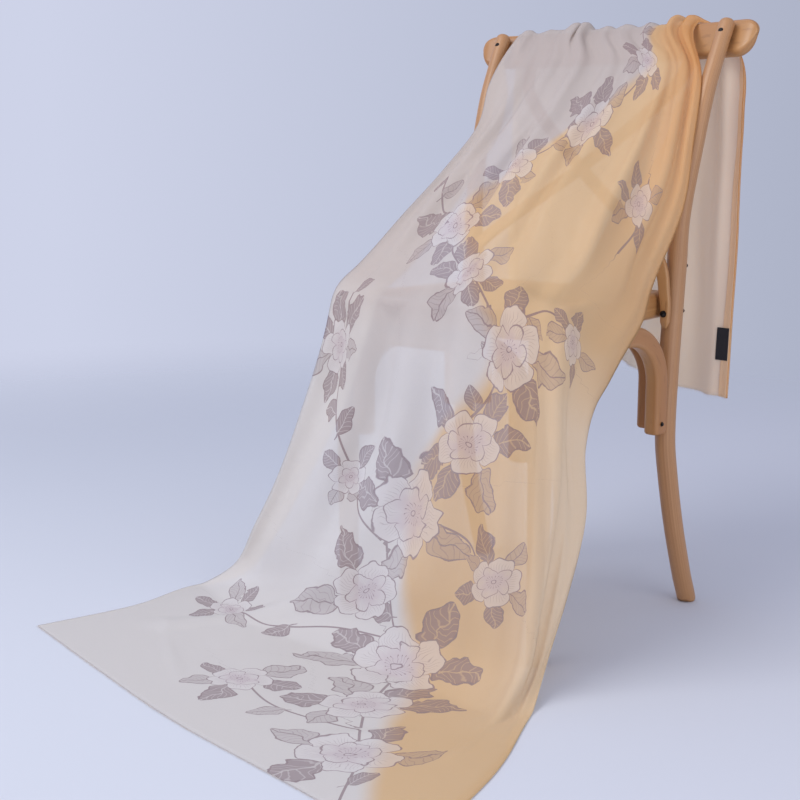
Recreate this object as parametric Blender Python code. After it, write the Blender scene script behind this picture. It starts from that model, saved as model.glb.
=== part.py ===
"""A cashmere shawl draped over a cross-back chair, at real size in metres.

The sitter on the chair would face -Y. The shawl hangs behind the top rail, passes over
it, slopes down over the seat to its front edge, falls to the floor and trails forward.
"""

from math import atan2, cos, pi, radians, sin

import bmesh
import bpy
import numpy as np
from mathutils import Vector

GAP = 0.0003  # between pieces that touch

# Shawl
WALL = 0.0016
CELLS_ACROSS = 36
REST = 0.0009  # least space between the cloth and what it lies on
SEAT_REST = 0.0040  # and round the seat's edges

# Chair
RAIL_HALF_LENGTH = 0.243
RAIL_HEIGHT = 0.056
RAIL_THICKNESS = 0.018
RAIL_TILT = radians(22)
RAIL_CENTRE_Z = 0.8365
RAIL_END_Y = 0.0930
RAIL_BOW = 0.030
SEAT_TOP = 0.475
SEAT_THICKNESS = 0.038
SEAT_FRONT_Y = -0.350
SEAT_REAR_Y = 0.018
SEAT_FRONT_HALF = 0.194
SEAT_REAR_HALF = 0.1642
SEAT_FRONT_CORNER = 0.058
SEAT_REAR_CORNER = 0.022
SEAT_RING_WIDTH = 0.034
CANE_DROP = 0.0075
CANE_THICKNESS = 0.004
FRONT_LEG_X = 0.170
FRONT_LEG_Y = -0.322
FRONT_LEG_TOP_RADIUS = 0.0175
FRONT_LEG_FOOT_RADIUS = 0.0135
SEAT_BEVEL = 0.009
LEG_TOP = SEAT_TOP - SEAT_THICKNESS - GAP
ARCH_DEPTH = 0.029
ARCH_WIDTH = 0.024
ARCH_CORNER = 0.006
ARCH_FOOT = 0.274
ARCH_BEND = 0.075
STRIP_WIDTH = 0.020
STRIP_THICKNESS = 0.009
STRIP_SPACE = 0.0022  # between a strip's foot and the rear leg
POST_BOLT_Z = 0.843
STRIP_SCREW_Z = 0.446
ARCH_SCREW_Z = 0.290
RAIL_NUT_X = 0.214

# The rear leg's centre line: height, distance back, distance out, radius
REAR_LEG = (
    (0.0000, 0.0440, 0.1943, 0.0140),
    (0.0050, 0.0440, 0.1943, 0.0140),
    (0.0425, 0.0290, 0.1930, 0.0142),
    (0.1330, 0.0000, 0.1905, 0.0145),
    (0.2170, -0.0190, 0.1880, 0.0147),
    (0.2650, -0.0245, 0.1862, 0.0148),
    (0.3630, -0.0170, 0.1835, 0.0149),
    (0.4640, -0.0050, 0.1812, 0.0149),
    (0.5100, -0.0030, 0.1825, 0.0146),
    (0.5850, -0.0030, 0.1865, 0.0138),
    (0.6880, 0.0200, 0.1925, 0.0128),
    (0.7620, 0.0425, 0.1955, 0.0122),
    (0.8200, 0.0693, 0.1975, 0.0118),
    (0.8550, 0.0872, 0.1990, 0.0118),
)

# The shawl's sections from the floor end up to the rail, each a crosswise line of the
# cloth from its far edge (-X) to its near edge (+X).
# name: far edge, far quarter, middle, near quarter, near edge
SECTIONS = (
    ("floor end", (-0.460, -0.672, 0.0), (-0.262, -0.716, 0.0), (-0.060, -0.757, 0.0),
     (0.152, -0.781, 0.0), (0.362, -0.806, 0.0)),
    ("floor half", (-0.424, -0.520, 0.0), (-0.228, -0.580, 0.0), (-0.012, -0.610, 0.0),
     (0.200, -0.628, 0.0), (0.318, -0.606, 0.0)),
    ("floor start", (-0.424, -0.395, 0.0), (-0.222, -0.462, 0.0), (0.012, -0.480, 0.0),
     (0.212, -0.496, 0.0), (0.266, -0.474, 0.0)),
    ("lift", (-0.378, -0.366, 0.036), (-0.192, -0.418, 0.030), (0.020, -0.434, 0.030),
     (0.212, -0.444, 0.034), (0.236, -0.392, 0.040)),
    ("low fall", (-0.327, -0.370, 0.110), (-0.150, -0.400, 0.110), (0.034, -0.412, 0.110),
     (0.206, -0.412, 0.115), (0.228, -0.338, 0.115)),
    ("half fall", (-0.273, -0.362, 0.210), (-0.116, -0.386, 0.210), (0.044, -0.396, 0.210),
     (0.204, -0.392, 0.220), (0.221, -0.292, 0.205)),
    ("high fall", (-0.216, -0.357, 0.330), (-0.082, -0.377, 0.330), (0.058, -0.384, 0.330),
     (0.203, -0.376, 0.330), (0.218, -0.290, 0.300)),
    ("under the edge", (-0.180, -0.354, 0.430), (-0.063, -0.367, 0.435), (0.062, -0.369, 0.436),
     (0.199, -0.360, 0.425), (0.215, -0.266, 0.352)),
    ("seat edge", (-0.177, -0.338, 0.481), (-0.062, -0.348, 0.483), (0.060, -0.348, 0.483),
     (0.188, -0.334, 0.478), (0.211, -0.224, 0.374)),
    ("low slope", (-0.167, -0.300, 0.515), (-0.060, -0.300, 0.520), (0.055, -0.298, 0.520),
     (0.168, -0.284, 0.496), (0.204, -0.168, 0.410)),
    ("third slope", (-0.156, -0.270, 0.543), (-0.058, -0.258, 0.552), (0.052, -0.248, 0.556),
     (0.160, -0.222, 0.524), (0.199, -0.122, 0.441)),
    ("half slope", (-0.147, -0.208, 0.597), (-0.056, -0.192, 0.609), (0.045, -0.176, 0.615),
     (0.146, -0.146, 0.590), (0.190, -0.078, 0.492)),
    ("high slope", (-0.136, -0.140, 0.656), (-0.056, -0.124, 0.670), (0.042, -0.104, 0.676),
     (0.140, -0.074, 0.656), (0.206, -0.030, 0.597)),
    ("top slope", (-0.126, -0.075, 0.715), (-0.052, -0.056, 0.732), (0.046, -0.036, 0.738),
     (0.136, -0.016, 0.724), (0.200, 0.002, 0.690)),
    ("under the rail", (-0.150, -0.012, 0.778), (-0.060, 0.020, 0.797), (0.040, 0.038, 0.804),
     (0.124, 0.042, 0.797), (0.192, 0.034, 0.778)),
)
# On the rail: how far round its top (0 is straight up), far edge x, near edge x
RAIL_SECTIONS = (
    (-46, -0.181, 0.139),
    (-12, -0.182, 0.139),
    (22, -0.184, 0.143),
    (56, -0.187, 0.154),
    (86, -0.190, 0.168),
)
# The tail behind the rail: height at its far, middle, near quarter and near lines, x and y
# of its edges
TAIL_SECTIONS = (
    (0.812, 0.812, 0.812, 0.812, -0.197, 0.120, 0.207, 0.122),
    (0.740, 0.734, 0.731, 0.730, -0.203, 0.124, 0.213, 0.123),
    (0.610, 0.592, 0.583, 0.580, -0.207, 0.126, 0.213, 0.124),
    (0.490, 0.458, 0.440, 0.434, -0.209, 0.128, 0.211, 0.124),
    (0.388, 0.342, 0.314, 0.304, -0.210, 0.130, 0.207, 0.124),
)
TAIL_BOW = 0.016

# Pleats gathered on the rail: place across (0 to 1), height, width across, how far each
# runs down the front and down the back, and how much its place drifts across in front
PLEATS = (
    (0.045, 0.0060, 0.050, 0.30, 0.36, 0.00),
    (0.170, 0.0055, 0.045, 0.22, 0.30, -0.02),
    (0.290, 0.0110, 0.040, 0.42, 0.34, -0.08),
    (0.365, 0.0100, 0.036, 0.36, 0.42, -0.05),
    (0.480, 0.0050, 0.050, 0.26, 0.30, -0.02),
    (0.590, 0.0060, 0.050, 0.30, 0.44, 0.01),
    (0.720, 0.0055, 0.045, 0.28, 0.36, 0.02),
    (0.865, 0.0115, 0.036, 0.40, 0.40, 0.03),
    (0.955, 0.0100, 0.032, 0.34, 0.46, 0.02),
)
# Larger folds: place across and along (0 floor end to 1 tail end) at the start and the
# end, height, and width across
FOLDS = (
    (0.80, 0.13, 0.72, 0.44, 0.012, 0.045),
    (0.92, 0.16, 0.86, 0.42, 0.010, 0.035),
    (0.66, 0.17, 0.60, 0.40, 0.008, 0.060),
    (0.40, 0.14, 0.34, 0.38, 0.007, 0.070),
    (0.16, 0.15, 0.22, 0.36, 0.008, 0.060),
    (0.10, 0.06, 0.30, 0.21, 0.012, 0.055),
    (0.87, 0.07, 0.80, 0.20, 0.009, 0.040),
    (0.22, 0.80, 0.18, 1.02, 0.012, 0.060),
    (0.52, 0.80, 0.56, 1.02, 0.014, 0.070),
    (0.80, 0.80, 0.84, 1.02, 0.010, 0.050),
)
# The stretches of the shawl: name, first and last section (counted along the length)
STRETCHES = (
    ("shawl_floor_trail", 0.0, 2.5, 11),
    ("shawl_front_fall", 2.5, 7.0, 14),
    ("shawl_slope", 7.0, 13.6, 17),
    ("shawl_over_rail", 13.6, 19.6, 12),
    ("shawl_tail", 19.6, 24.0, 9),
)
# The label on the tail's inner side: heights, places across, thickness and its space from
# the cloth
LABEL_LOW = 0.362
LABEL_HIGH = 0.412
LABEL_ACROSS = (0.942, 0.992)
LABEL_THICKNESS = 0.0008
LABEL_SPACE = 0.0004


def clear_scene():
    for old in list(bpy.data.objects):
        bpy.data.objects.remove(old, do_unlink=True)


def make_material(name, colour, roughness, metallic=0.0):
    material = bpy.data.materials.new(name)
    material.use_nodes = True
    shader = material.node_tree.nodes["Principled BSDF"]
    shader.inputs["Base Color"].default_value = (*colour, 1)
    shader.inputs["Roughness"].default_value = roughness
    shader.inputs["Metallic"].default_value = metallic
    material.diffuse_color = (*colour, 1)
    return material


clear_scene()
model = bpy.data.collections.new("shawl on a chair")
bpy.context.scene.collection.children.link(model)
cashmere = make_material("printed cashmere", (0.70, 0.60, 0.50), 0.85)
label_cloth = make_material("plain label", (0.02, 0.02, 0.025), 0.7)
beech = make_material("lacquered beech", (0.58, 0.36, 0.19), 0.4)
cane = make_material("woven cane", (0.62, 0.47, 0.28), 0.6)
black_steel = make_material("black steel", (0.02, 0.018, 0.016), 0.45, 0.6)


def add_mesh_object(name, mesh, material):
    mesh.materials.clear()
    mesh.materials.append(material)
    obj = bpy.data.objects.new(name, mesh)
    model.objects.link(obj)
    return obj


# ---- The chair ----


def rail_y(x):
    """How far back the rail's middle line is at x: it bows away from the sitter."""
    return RAIL_END_Y + RAIL_BOW * (1 - (x / RAIL_HALF_LENGTH) ** 2)


def bar_section(width, depth, corner):
    """Corners of a bar's rounded section, two steps to each round."""
    points = []
    for quarter in range(4):
        sign_a = 1 if quarter in (0, 3) else -1
        sign_b = 1 if quarter in (0, 1) else -1
        for step in range(3):
            angle = quarter * pi / 2 + step * pi / 4
            a = sign_a * (width / 2 - corner) + corner * cos(angle)
            b = sign_b * (depth / 2 - corner) + corner * sin(angle)
            points.append((a, b))
    return points


def bent_bar(name, path, across, section, material, ends=1.0):
    """A bar of one section bent along a path. The across vectors give its first side."""
    mesh = bmesh.new()
    rings = []
    for i, point in enumerate(path):
        ahead = path[min(i + 1, len(path) - 1)] - path[max(i - 1, 0)]
        side = across[i] if isinstance(across, list) else across
        other = ahead.cross(side).normalized()
        first = other.cross(ahead).normalized()
        size = ends if i in (0, len(path) - 1) else 1.0
        ring = [mesh.verts.new(point + first * a * size + other * b * size) for a, b in section]
        rings.append(ring)
    count = len(section)
    for ring, following in zip(rings, rings[1:]):
        for k in range(count):
            corner = (k + 1) % count
            mesh.faces.new((ring[k], ring[corner], following[corner], following[k]))
    mesh.faces.new(rings[0][::-1])
    mesh.faces.new(rings[-1])
    bmesh.ops.recalc_face_normals(mesh, faces=mesh.faces)
    data = bpy.data.meshes.new(name)
    mesh.to_mesh(data)
    mesh.free()
    data.shade_smooth()
    data.set_sharp_from_angle(angle=radians(50))
    return add_mesh_object(name, data, material)


def interpolate(rows, value):
    """A smooth row between the rows of a table whose first column rises."""
    keys = [row[0] for row in rows]
    data = np.array(rows)
    k = min(max(np.searchsorted(keys, value) - 1, 0), len(keys) - 2)
    before = data[max(k - 1, 0)]
    after = data[min(k + 2, len(keys) - 1)]
    span = keys[k + 1] - keys[k]
    t = (value - keys[k]) / span
    start = (data[k + 1] - before) / (keys[k + 1] - before[0]) * span
    end = (after - data[k]) / (after[0] - keys[k]) * span
    return (
        data[k] * (2 * t**3 - 3 * t**2 + 1)
        + start * (t**3 - 2 * t**2 + t)
        + data[k + 1] * (3 * t**2 - 2 * t**3)
        + end * (t**3 - t**2)
    )


def rear_leg_at(height):
    """Distance back, distance out and radius of the rear leg at a height."""
    _, back, out, radius = interpolate(REAR_LEG, height)
    return back, out, radius


def round_rod(name, points, radii, material):
    """A round rod along a curve, thicker or thinner as its radii say."""
    curve = bpy.data.curves.new(name, "CURVE")
    curve.dimensions = "3D"
    curve.bevel_depth = 1.0
    curve.bevel_resolution = 3
    curve.use_fill_caps = True
    spline = curve.splines.new("POLY")
    spline.points.add(len(points) - 1)
    for knot, point, radius in zip(spline.points, points, radii):
        knot.co = (*point, 1)
        knot.radius = radius
        knot.tilt = 0
    curve.materials.append(material)
    obj = bpy.data.objects.new(name, curve)
    model.objects.link(obj)
    return obj


def make_rear_leg(name, side):
    top = REAR_LEG[-1][0]
    heights = [0, 0.005] + [top * k / 24 for k in range(1, 25)]
    points = []
    radii = []
    for height in heights:
        back, out, radius = rear_leg_at(height)
        points.append((side * out, back, height))
        radii.append(radius)
    back, out, radius = rear_leg_at(top)
    for rise, shrink in ((0.0035, 0.93), (0.0065, 0.74), (0.0085, 0.42)):  # rounded head
        points.append((side * out, back + rise * 0.42, top + rise))
        radii.append(radius * shrink)
    round_rod(name, points, radii, beech)


def rounded_outline(corners, steps=6):
    """Points round an outline whose corners are (x, y, radius), counter-clockwise."""
    points = []
    count = len(corners)
    for i, (x, y, radius) in enumerate(corners):
        here = Vector((x, y))
        to_last = (Vector(corners[i - 1][:2]) - here).normalized()
        to_next = (Vector(corners[(i + 1) % count][:2]) - here).normalized()
        half = to_last.angle(to_next) / 2
        centre = here + (to_last + to_next).normalized() * radius / sin(half)
        start = here + to_last * radius / np.tan(half) - centre
        end = here + to_next * radius / np.tan(half) - centre
        first = atan2(start.y, start.x)
        turn = (atan2(end.y, end.x) - first + pi) % (2 * pi) - pi
        for k in range(steps + 1):
            angle = first + turn * k / steps
            points.append(centre + radius * Vector((cos(angle), sin(angle))))
    return points


def seat_outline(inset):
    """The seat ring's outline, moved in by a distance."""
    front = SEAT_FRONT_Y + inset
    rear = SEAT_REAR_Y - inset
    slope = (SEAT_FRONT_HALF - SEAT_REAR_HALF) / (SEAT_REAR_Y - SEAT_FRONT_Y)
    front_half = SEAT_FRONT_HALF - inset * (1 + slope)
    rear_half = SEAT_REAR_HALF - inset * (1 - slope)
    front_corner = max(SEAT_FRONT_CORNER - inset, 0.004)
    rear_corner = max(SEAT_REAR_CORNER - inset, 0.004)
    return rounded_outline([
        (-front_half, front, front_corner),
        (front_half, front, front_corner),
        (rear_half, rear, rear_corner),
        (-rear_half, rear, rear_corner),
    ])


def flat_piece(name, outlines, bottom, top, bevel, material):
    """A flat piece between two heights from closed outlines, the later ones its holes."""
    curve = bpy.data.curves.new(name, "CURVE")
    curve.dimensions = "2D"
    curve.fill_mode = "BOTH"
    curve.extrude = (top - bottom) / 2 - bevel
    curve.bevel_depth = bevel
    curve.bevel_resolution = 1
    curve.offset = -bevel
    for outline in outlines:
        spline = curve.splines.new("POLY")
        spline.points.add(len(outline) - 1)
        for knot, point in zip(spline.points, outline):
            knot.co = (point.x, point.y, 0, 1)
        spline.use_cyclic_u = True
    curve.materials.append(material)
    obj = bpy.data.objects.new(name, curve)
    obj.location.z = (top + bottom) / 2
    model.objects.link(obj)
    return obj


def make_seat():
    ring_bottom = SEAT_TOP - SEAT_THICKNESS
    outlines = [seat_outline(0), seat_outline(SEAT_RING_WIDTH)]
    flat_piece("seat_ring", outlines, ring_bottom, SEAT_TOP, SEAT_BEVEL, beech)
    cane_top = SEAT_TOP - CANE_DROP
    cane_outline = [seat_outline(SEAT_RING_WIDTH + GAP)]
    flat_piece("seat_cane", cane_outline, cane_top - CANE_THICKNESS, cane_top, 0.001, cane)


def make_front_leg(name, side):
    points = []
    radii = []
    for k in range(9):
        share = k / 8
        points.append((side * FRONT_LEG_X, FRONT_LEG_Y, LEG_TOP * share))
        radii.append(FRONT_LEG_FOOT_RADIUS + (FRONT_LEG_TOP_RADIUS - FRONT_LEG_FOOT_RADIUS) * share)
    round_rod(name, points, radii, beech)


def arch_path(start, end):
    """A bar that rises at the start, bends over under the seat and comes down at the end."""
    middle_z = LEG_TOP - ARCH_DEPTH / 2
    halfway = (ARCH_FOOT + middle_z - ARCH_BEND) / 2
    run = end - start
    length = run.length
    run = run.normalized()
    heights = (ARCH_FOOT, ARCH_FOOT + 0.003, halfway)
    path = [Vector((start.x, start.y, height)) for height in heights]
    for k in range(7):
        angle = k * pi / 12
        point = start + run * ARCH_BEND * (1 - cos(angle))
        point.z = middle_z - ARCH_BEND * (1 - sin(angle))
        path.append(point)
    for k in range(7):
        angle = pi / 2 - k * pi / 12
        point = start + run * (length - ARCH_BEND * (1 - cos(angle)))
        point.z = middle_z - ARCH_BEND * (1 - sin(angle))
        path.append(point)
    path += [Vector((end.x, end.y, height)) for height in reversed(heights)]
    return path


def rear_arch_place():
    """How far out and back the rear leg is beside the arches, and where the arches clear it."""
    legs = [rear_leg_at(ARCH_FOOT + rise) for rise in (0, 0.02, 0.04, 0.06, 0.08)]
    back, out, _ = legs[1]
    half = ARCH_DEPTH / 2
    arch_y = min(leg[0] - leg[2] for leg in legs) + 2 * GAP - half
    arch_x = min(leg[1] - leg[2] for leg in legs) - GAP - half
    return out, back, arch_y, arch_x


def make_arches():
    section = bar_section(ARCH_WIDTH, ARCH_DEPTH, ARCH_CORNER)
    half = ARCH_DEPTH / 2
    rear_out, rear_back, rear_y, inner = rear_arch_place()
    front_reach = FRONT_LEG_TOP_RADIUS - 2 * GAP + half
    for name, side in (("arch_near", 1), ("arch_far", -1)):
        start = Vector((side * rear_out, rear_y, 0))
        end = Vector((side * FRONT_LEG_X, FRONT_LEG_Y + front_reach, 0))
        across = (end - start).cross(Vector((0, 0, 1))).normalized()
        bent_bar(name, arch_path(start, end), across, section, beech, ends=0.86)
    start = Vector((FRONT_LEG_X - front_reach, FRONT_LEG_Y, 0))
    end = Vector((-FRONT_LEG_X + front_reach, FRONT_LEG_Y, 0))
    bent_bar("arch_front", arch_path(start, end), Vector((0, 1, 0)), section, beech, ends=0.86)
    start = Vector((inner, rear_back + 0.004, 0))
    end = Vector((-inner, rear_back + 0.004, 0))
    bent_bar("arch_rear", arch_path(start, end), Vector((0, 1, 0)), section, beech, ends=0.86)


def make_rail():
    path = []
    steps = 22
    for k in range(steps + 1):
        x = -RAIL_HALF_LENGTH * cos(pi * k / steps)
        path.append(Vector((x, rail_y(x), RAIL_CENTRE_Z)))
    up = Vector((0, sin(RAIL_TILT), cos(RAIL_TILT)))
    section = bar_section(RAIL_HEIGHT, RAIL_THICKNESS, RAIL_THICKNESS / 2 - 0.0002)
    mesh = bmesh.new()
    rings = []
    for i, point in enumerate(path):
        share = abs(point.x) / RAIL_HALF_LENGTH
        rounding = min(max(0.0, (share - 0.84) / 0.16), 1.0)
        height = max(0.34, (1 - rounding**2) ** 0.5)
        depth = max(0.45, (1 - rounding**3) ** 0.5)
        ahead = path[min(i + 1, steps)] - path[max(i - 1, 0)]
        other = ahead.cross(up).normalized()
        middle = point + up * (1 - height) * RAIL_HEIGHT * 0.3  # the lower corner is cut more
        rings.append([mesh.verts.new(middle + up * a * height + other * b * depth) for a, b in section])
    count = len(section)
    for ring, following in zip(rings, rings[1:]):
        for k in range(count):
            corner = (k + 1) % count
            mesh.faces.new((ring[k], ring[corner], following[corner], following[k]))
    mesh.faces.new(rings[0][::-1])
    mesh.faces.new(rings[-1])
    bmesh.ops.recalc_face_normals(mesh, faces=mesh.faces)
    data = bpy.data.meshes.new("top_rail")
    mesh.to_mesh(data)
    mesh.free()
    data.shade_smooth()
    add_mesh_object("top_rail", data, beech)


def strip_path(side, lift):
    """One bent strip of the cross back, from the foot of one leg to the rail's other half."""
    leg_back, leg_out, leg_radius = rear_leg_at(STRIP_SCREW_Z)
    foot_y = leg_back - leg_radius - STRIP_SPACE - STRIP_THICKNESS / 2
    rows = (
        (0.0, side * leg_out, foot_y, 0.425),
        (0.5, side * (leg_out - 0.001), foot_y - 0.001, 0.470),
        (1.0, side * 0.160, foot_y + 0.002, 0.530),
        (2.0, 0.0, 0.022 + lift, 0.655),
        (3.0, -side * 0.118, 0.062 + lift, 0.760),
        (3.6, -side * 0.146, rail_y(0.146) - 0.0192, 0.815),
    )
    return [Vector(interpolate(rows, 3.6 * k / 20)[1:]) for k in range(21)]


def make_cross_strips():
    section = bar_section(STRIP_WIDTH, STRIP_THICKNESS, 0.0035)
    for name, side, lift in (("cross_strip_a", 1, -0.0075), ("cross_strip_b", -1, 0.0075)):
        path = strip_path(side, lift)
        across = []
        for i, point in enumerate(path):
            ahead = path[min(i + 1, 20)] - path[max(i - 1, 0)]
            across.append(ahead.cross(Vector((0, 1, -0.22))).normalized())
        bent_bar(name, path, across, section, beech, ends=0.9)


def make_bolt(name, place, direction, radius, length):
    """A round black head that stands out along a direction, a little narrower at its face."""
    mesh = bmesh.new()
    bmesh.ops.create_cone(
        mesh, cap_ends=True, segments=12, radius1=radius, radius2=radius * 0.8, depth=length
    )
    data = bpy.data.meshes.new(name)
    mesh.to_mesh(data)
    mesh.free()
    data.shade_smooth()
    data.set_sharp_from_angle(angle=radians(40))
    obj = add_mesh_object(name, data, black_steel)
    direction = Vector(direction).normalized()
    obj.location = Vector(place) + direction * (length / 2)
    obj.rotation_euler = direction.to_track_quat("Z", "Y").to_euler()
    return obj


def make_bolts():
    tilt = (0, -cos(RAIL_TILT), sin(RAIL_TILT))
    for name, side in (("near", 1), ("far", -1)):
        back, out, radius = rear_leg_at(POST_BOLT_Z)
        front = Vector((side * out, back, POST_BOLT_Z)) + Vector(tilt) * (radius + GAP / 2)
        make_bolt(f"post_bolt_{name}", front, tilt, 0.0056, 0.004)
        rear = Vector((side * RAIL_NUT_X, rail_y(RAIL_NUT_X), RAIL_CENTRE_Z))
        rear -= Vector(tilt) * (RAIL_THICKNESS / 2 + GAP * 5)
        make_bolt(f"rail_nut_{name}", rear, -Vector(tilt), 0.0045, 0.006)
        for level, height, sink in (("high", 0.512, -0.0007), ("low", 0.446, 0.0001)):
            back, out, radius = rear_leg_at(height)
            place = (side * out, back + radius + sink, height)
            make_bolt(f"leg_nut_{level}_{name}", place, (0, 1, 0), 0.0050, 0.008)
        out, _, arch_y, _ = rear_arch_place()
        place = (side * (out + ARCH_WIDTH / 2 + GAP * 2), arch_y - 0.003, ARCH_SCREW_Z)
        make_bolt(f"arch_screw_{name}", place, (side, 0, 0), 0.0034, 0.0012)
        leg_back, leg_out, leg_radius = rear_leg_at(STRIP_SCREW_Z)
        strip_front = leg_back - leg_radius - STRIP_SPACE - STRIP_THICKNESS
        place = (side * leg_out, strip_front - GAP * 5, STRIP_SCREW_Z)
        make_bolt(f"strip_screw_{name}", place, (0, -1, 0), 0.0050, 0.003)


# ---- The shawl ----


def rail_point(angle, x):
    """A point on the cloth's middle, round the rail's top edge at x."""
    reach = RAIL_HEIGHT / 2 - RAIL_THICKNESS / 2
    centre_y = rail_y(x) + reach * sin(RAIL_TILT)
    centre_z = RAIL_CENTRE_Z + reach * cos(RAIL_TILT)
    radius = RAIL_THICKNESS / 2 + WALL / 2 + REST
    return (x, centre_y + radius * sin(radians(angle)), centre_z + radius * cos(radians(angle)))


def section_table():
    """Five points for each section along the whole shawl, floor end first."""
    table = [row[1:] for row in SECTIONS]
    shares = (0.0, 0.25, 0.5, 0.75, 1.0)
    for angle, far_x, near_x in RAIL_SECTIONS:
        table.append([rail_point(angle, far_x + (near_x - far_x) * share) for share in shares])
    for *heights, far_x, far_y, near_x, near_y in TAIL_SECTIONS:
        line = []
        for share in shares:
            x = far_x + (near_x - far_x) * share
            y = far_y + (near_y - far_y) * share + TAIL_BOW * 4 * share * (1 - share)
            line.append((x, y, np.interp(share, (0, 0.5, 0.75, 1), heights)))
        table.append(line)
    return np.array(table, float)


TABLE = section_table()
MIDDLE_STEPS = np.linalg.norm(np.diff(TABLE, axis=0), axis=2).mean(axis=1)
ALONG = np.concatenate([[0.0], np.cumsum(MIDDLE_STEPS)])  # distance along of each section
RAIL_ALONG = ALONG[len(SECTIONS) + 1]
ROW_SLOPES = np.empty_like(TABLE)
for i in range(len(TABLE)):
    low, high = max(i - 1, 0), min(i + 1, len(TABLE) - 1)
    if low == i or high == i:
        ROW_SLOPES[i] = (TABLE[high] - TABLE[low]) / (ALONG[high] - ALONG[low])
    else:
        before, after = ALONG[i] - ALONG[low], ALONG[high] - ALONG[i]
        back_slope = (TABLE[i] - TABLE[low]) / before
        front_slope = (TABLE[high] - TABLE[i]) / after
        ROW_SLOPES[i] = (back_slope * after + front_slope * before) / (before + after)


def crosswise(points, share):
    """A smooth curve through a section's five points, read at a share of the width."""
    k = min(int(share * 4), 3)
    t = share * 4 - k
    before = points[k - 1] if k else 2 * points[0] - points[1]
    after = points[k + 2] if k < 3 else 2 * points[4] - points[3]
    start = (points[k + 1] - before) / 2
    end = (after - points[k]) / 2
    return (
        points[k] * (2 * t**3 - 3 * t**2 + 1)
        + start * (t**3 - 2 * t**2 + t)
        + points[k + 1] * (3 * t**2 - 2 * t**3)
        + end * (t**3 - t**2)
    )


def cloth_base(share, along):
    """The cloth without folds, at a share of its width and a distance along it."""
    k = int(min(max(np.searchsorted(ALONG, along) - 1, 0), len(ALONG) - 2))
    span = ALONG[k + 1] - ALONG[k]
    t = (along - ALONG[k]) / span
    low, high = crosswise(TABLE[k], share), crosswise(TABLE[k + 1], share)
    low_slope, high_slope = crosswise(ROW_SLOPES[k], share), crosswise(ROW_SLOPES[k + 1], share)
    return (
        low * (2 * t**3 - 3 * t**2 + 1)
        + low_slope * span * (t**3 - 2 * t**2 + t)
        + high * (3 * t**2 - 2 * t**3)
        + high_slope * span * (t**3 - t**2)
    )


def bump(x):
    """A soft hump, 1 at 0 and gone past 1 either way."""
    return (1 - x * x) ** 2 if abs(x) < 1 else 0.0


def fold_height(share, along):
    """How far the folds lift the cloth there."""
    height = 0.0
    for place, lift, width, front_run, back_run, drift in PLEATS:
        gone = along - RAIL_ALONG
        run = back_run if gone > 0 else front_run
        fade = 1 - abs(gone) / run
        if fade <= 0:
            continue
        away = abs(gone) / run
        middle = place + (drift * away if gone < 0 else 0)
        spread = width * (1 + 1.2 * away)
        height += lift * fade**1.3 * bump((share - middle) / spread)
    whole = ALONG[-1]
    for place, start, end_place, end, lift, width in FOLDS:
        t = (along / whole - start) / (end - start)
        if 0 < t < 1:
            middle = place + (end_place - place) * t
            height += lift * sin(pi * t) * bump((share - middle) / width)
    return height


def seat_half_width(y):
    share = (SEAT_REAR_Y - y) / (SEAT_REAR_Y - SEAT_FRONT_Y)
    return SEAT_REAR_HALF + (SEAT_FRONT_HALF - SEAT_REAR_HALF) * share


def clear_of_chair(point):
    """The point, moved out of the chair's seat, rear leg or floor where it would touch."""
    x, y, z = point
    rest = WALL / 2 + SEAT_REST
    if SEAT_FRONT_Y - rest < y < SEAT_REAR_Y and z > SEAT_TOP - SEAT_THICKNESS - 0.02:
        past_side = abs(x) - seat_half_width(y)
        below_top = SEAT_TOP + rest - z
        if below_top > 0 and past_side < rest:
            front = y - SEAT_FRONT_Y
            corner_x = abs(x) - (SEAT_FRONT_HALF - SEAT_FRONT_CORNER)
            corner_y = SEAT_FRONT_CORNER - front
            if corner_x > 0 and corner_y > 0:
                past = (corner_x**2 + corner_y**2) ** 0.5 - SEAT_FRONT_CORNER
            else:
                past = max(past_side, -front)
            out = rest - past
            if out > 0 and below_top < out:
                z = SEAT_TOP + rest
            elif out > 0 and -front > past_side:
                y = SEAT_FRONT_Y - rest
            elif out > 0:
                x += (1 if x > 0 else -1) * out
    if 0.50 < z < 0.80:
        back, leg_out, radius = rear_leg_at(z)
        clear = radius + WALL / 2 + 2 * REST
        sideways = abs(x) - leg_out
        if abs(sideways) < clear and y < back + clear:
            y = min(y, back - (clear**2 - sideways**2) ** 0.5)
    return np.array((x, y, max(z, WALL / 2)))


def cloth_point(share, along):
    """The cloth's middle surface with its folds, clear of the chair and the floor."""
    step = 0.002
    here = cloth_base(share, along)
    across = cloth_base(min(share + step, 1), along) - cloth_base(max(share - step, 0), along)
    forward = cloth_base(share, along + step) - cloth_base(share, along - step)
    out = np.cross(forward, across)
    out /= np.linalg.norm(out)
    return clear_of_chair(here - out * fold_height(share, along))


def section_place(count):
    """The distance along the cloth at a place counted in sections."""
    return float(np.interp(count, range(len(ALONG)), ALONG))


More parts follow.
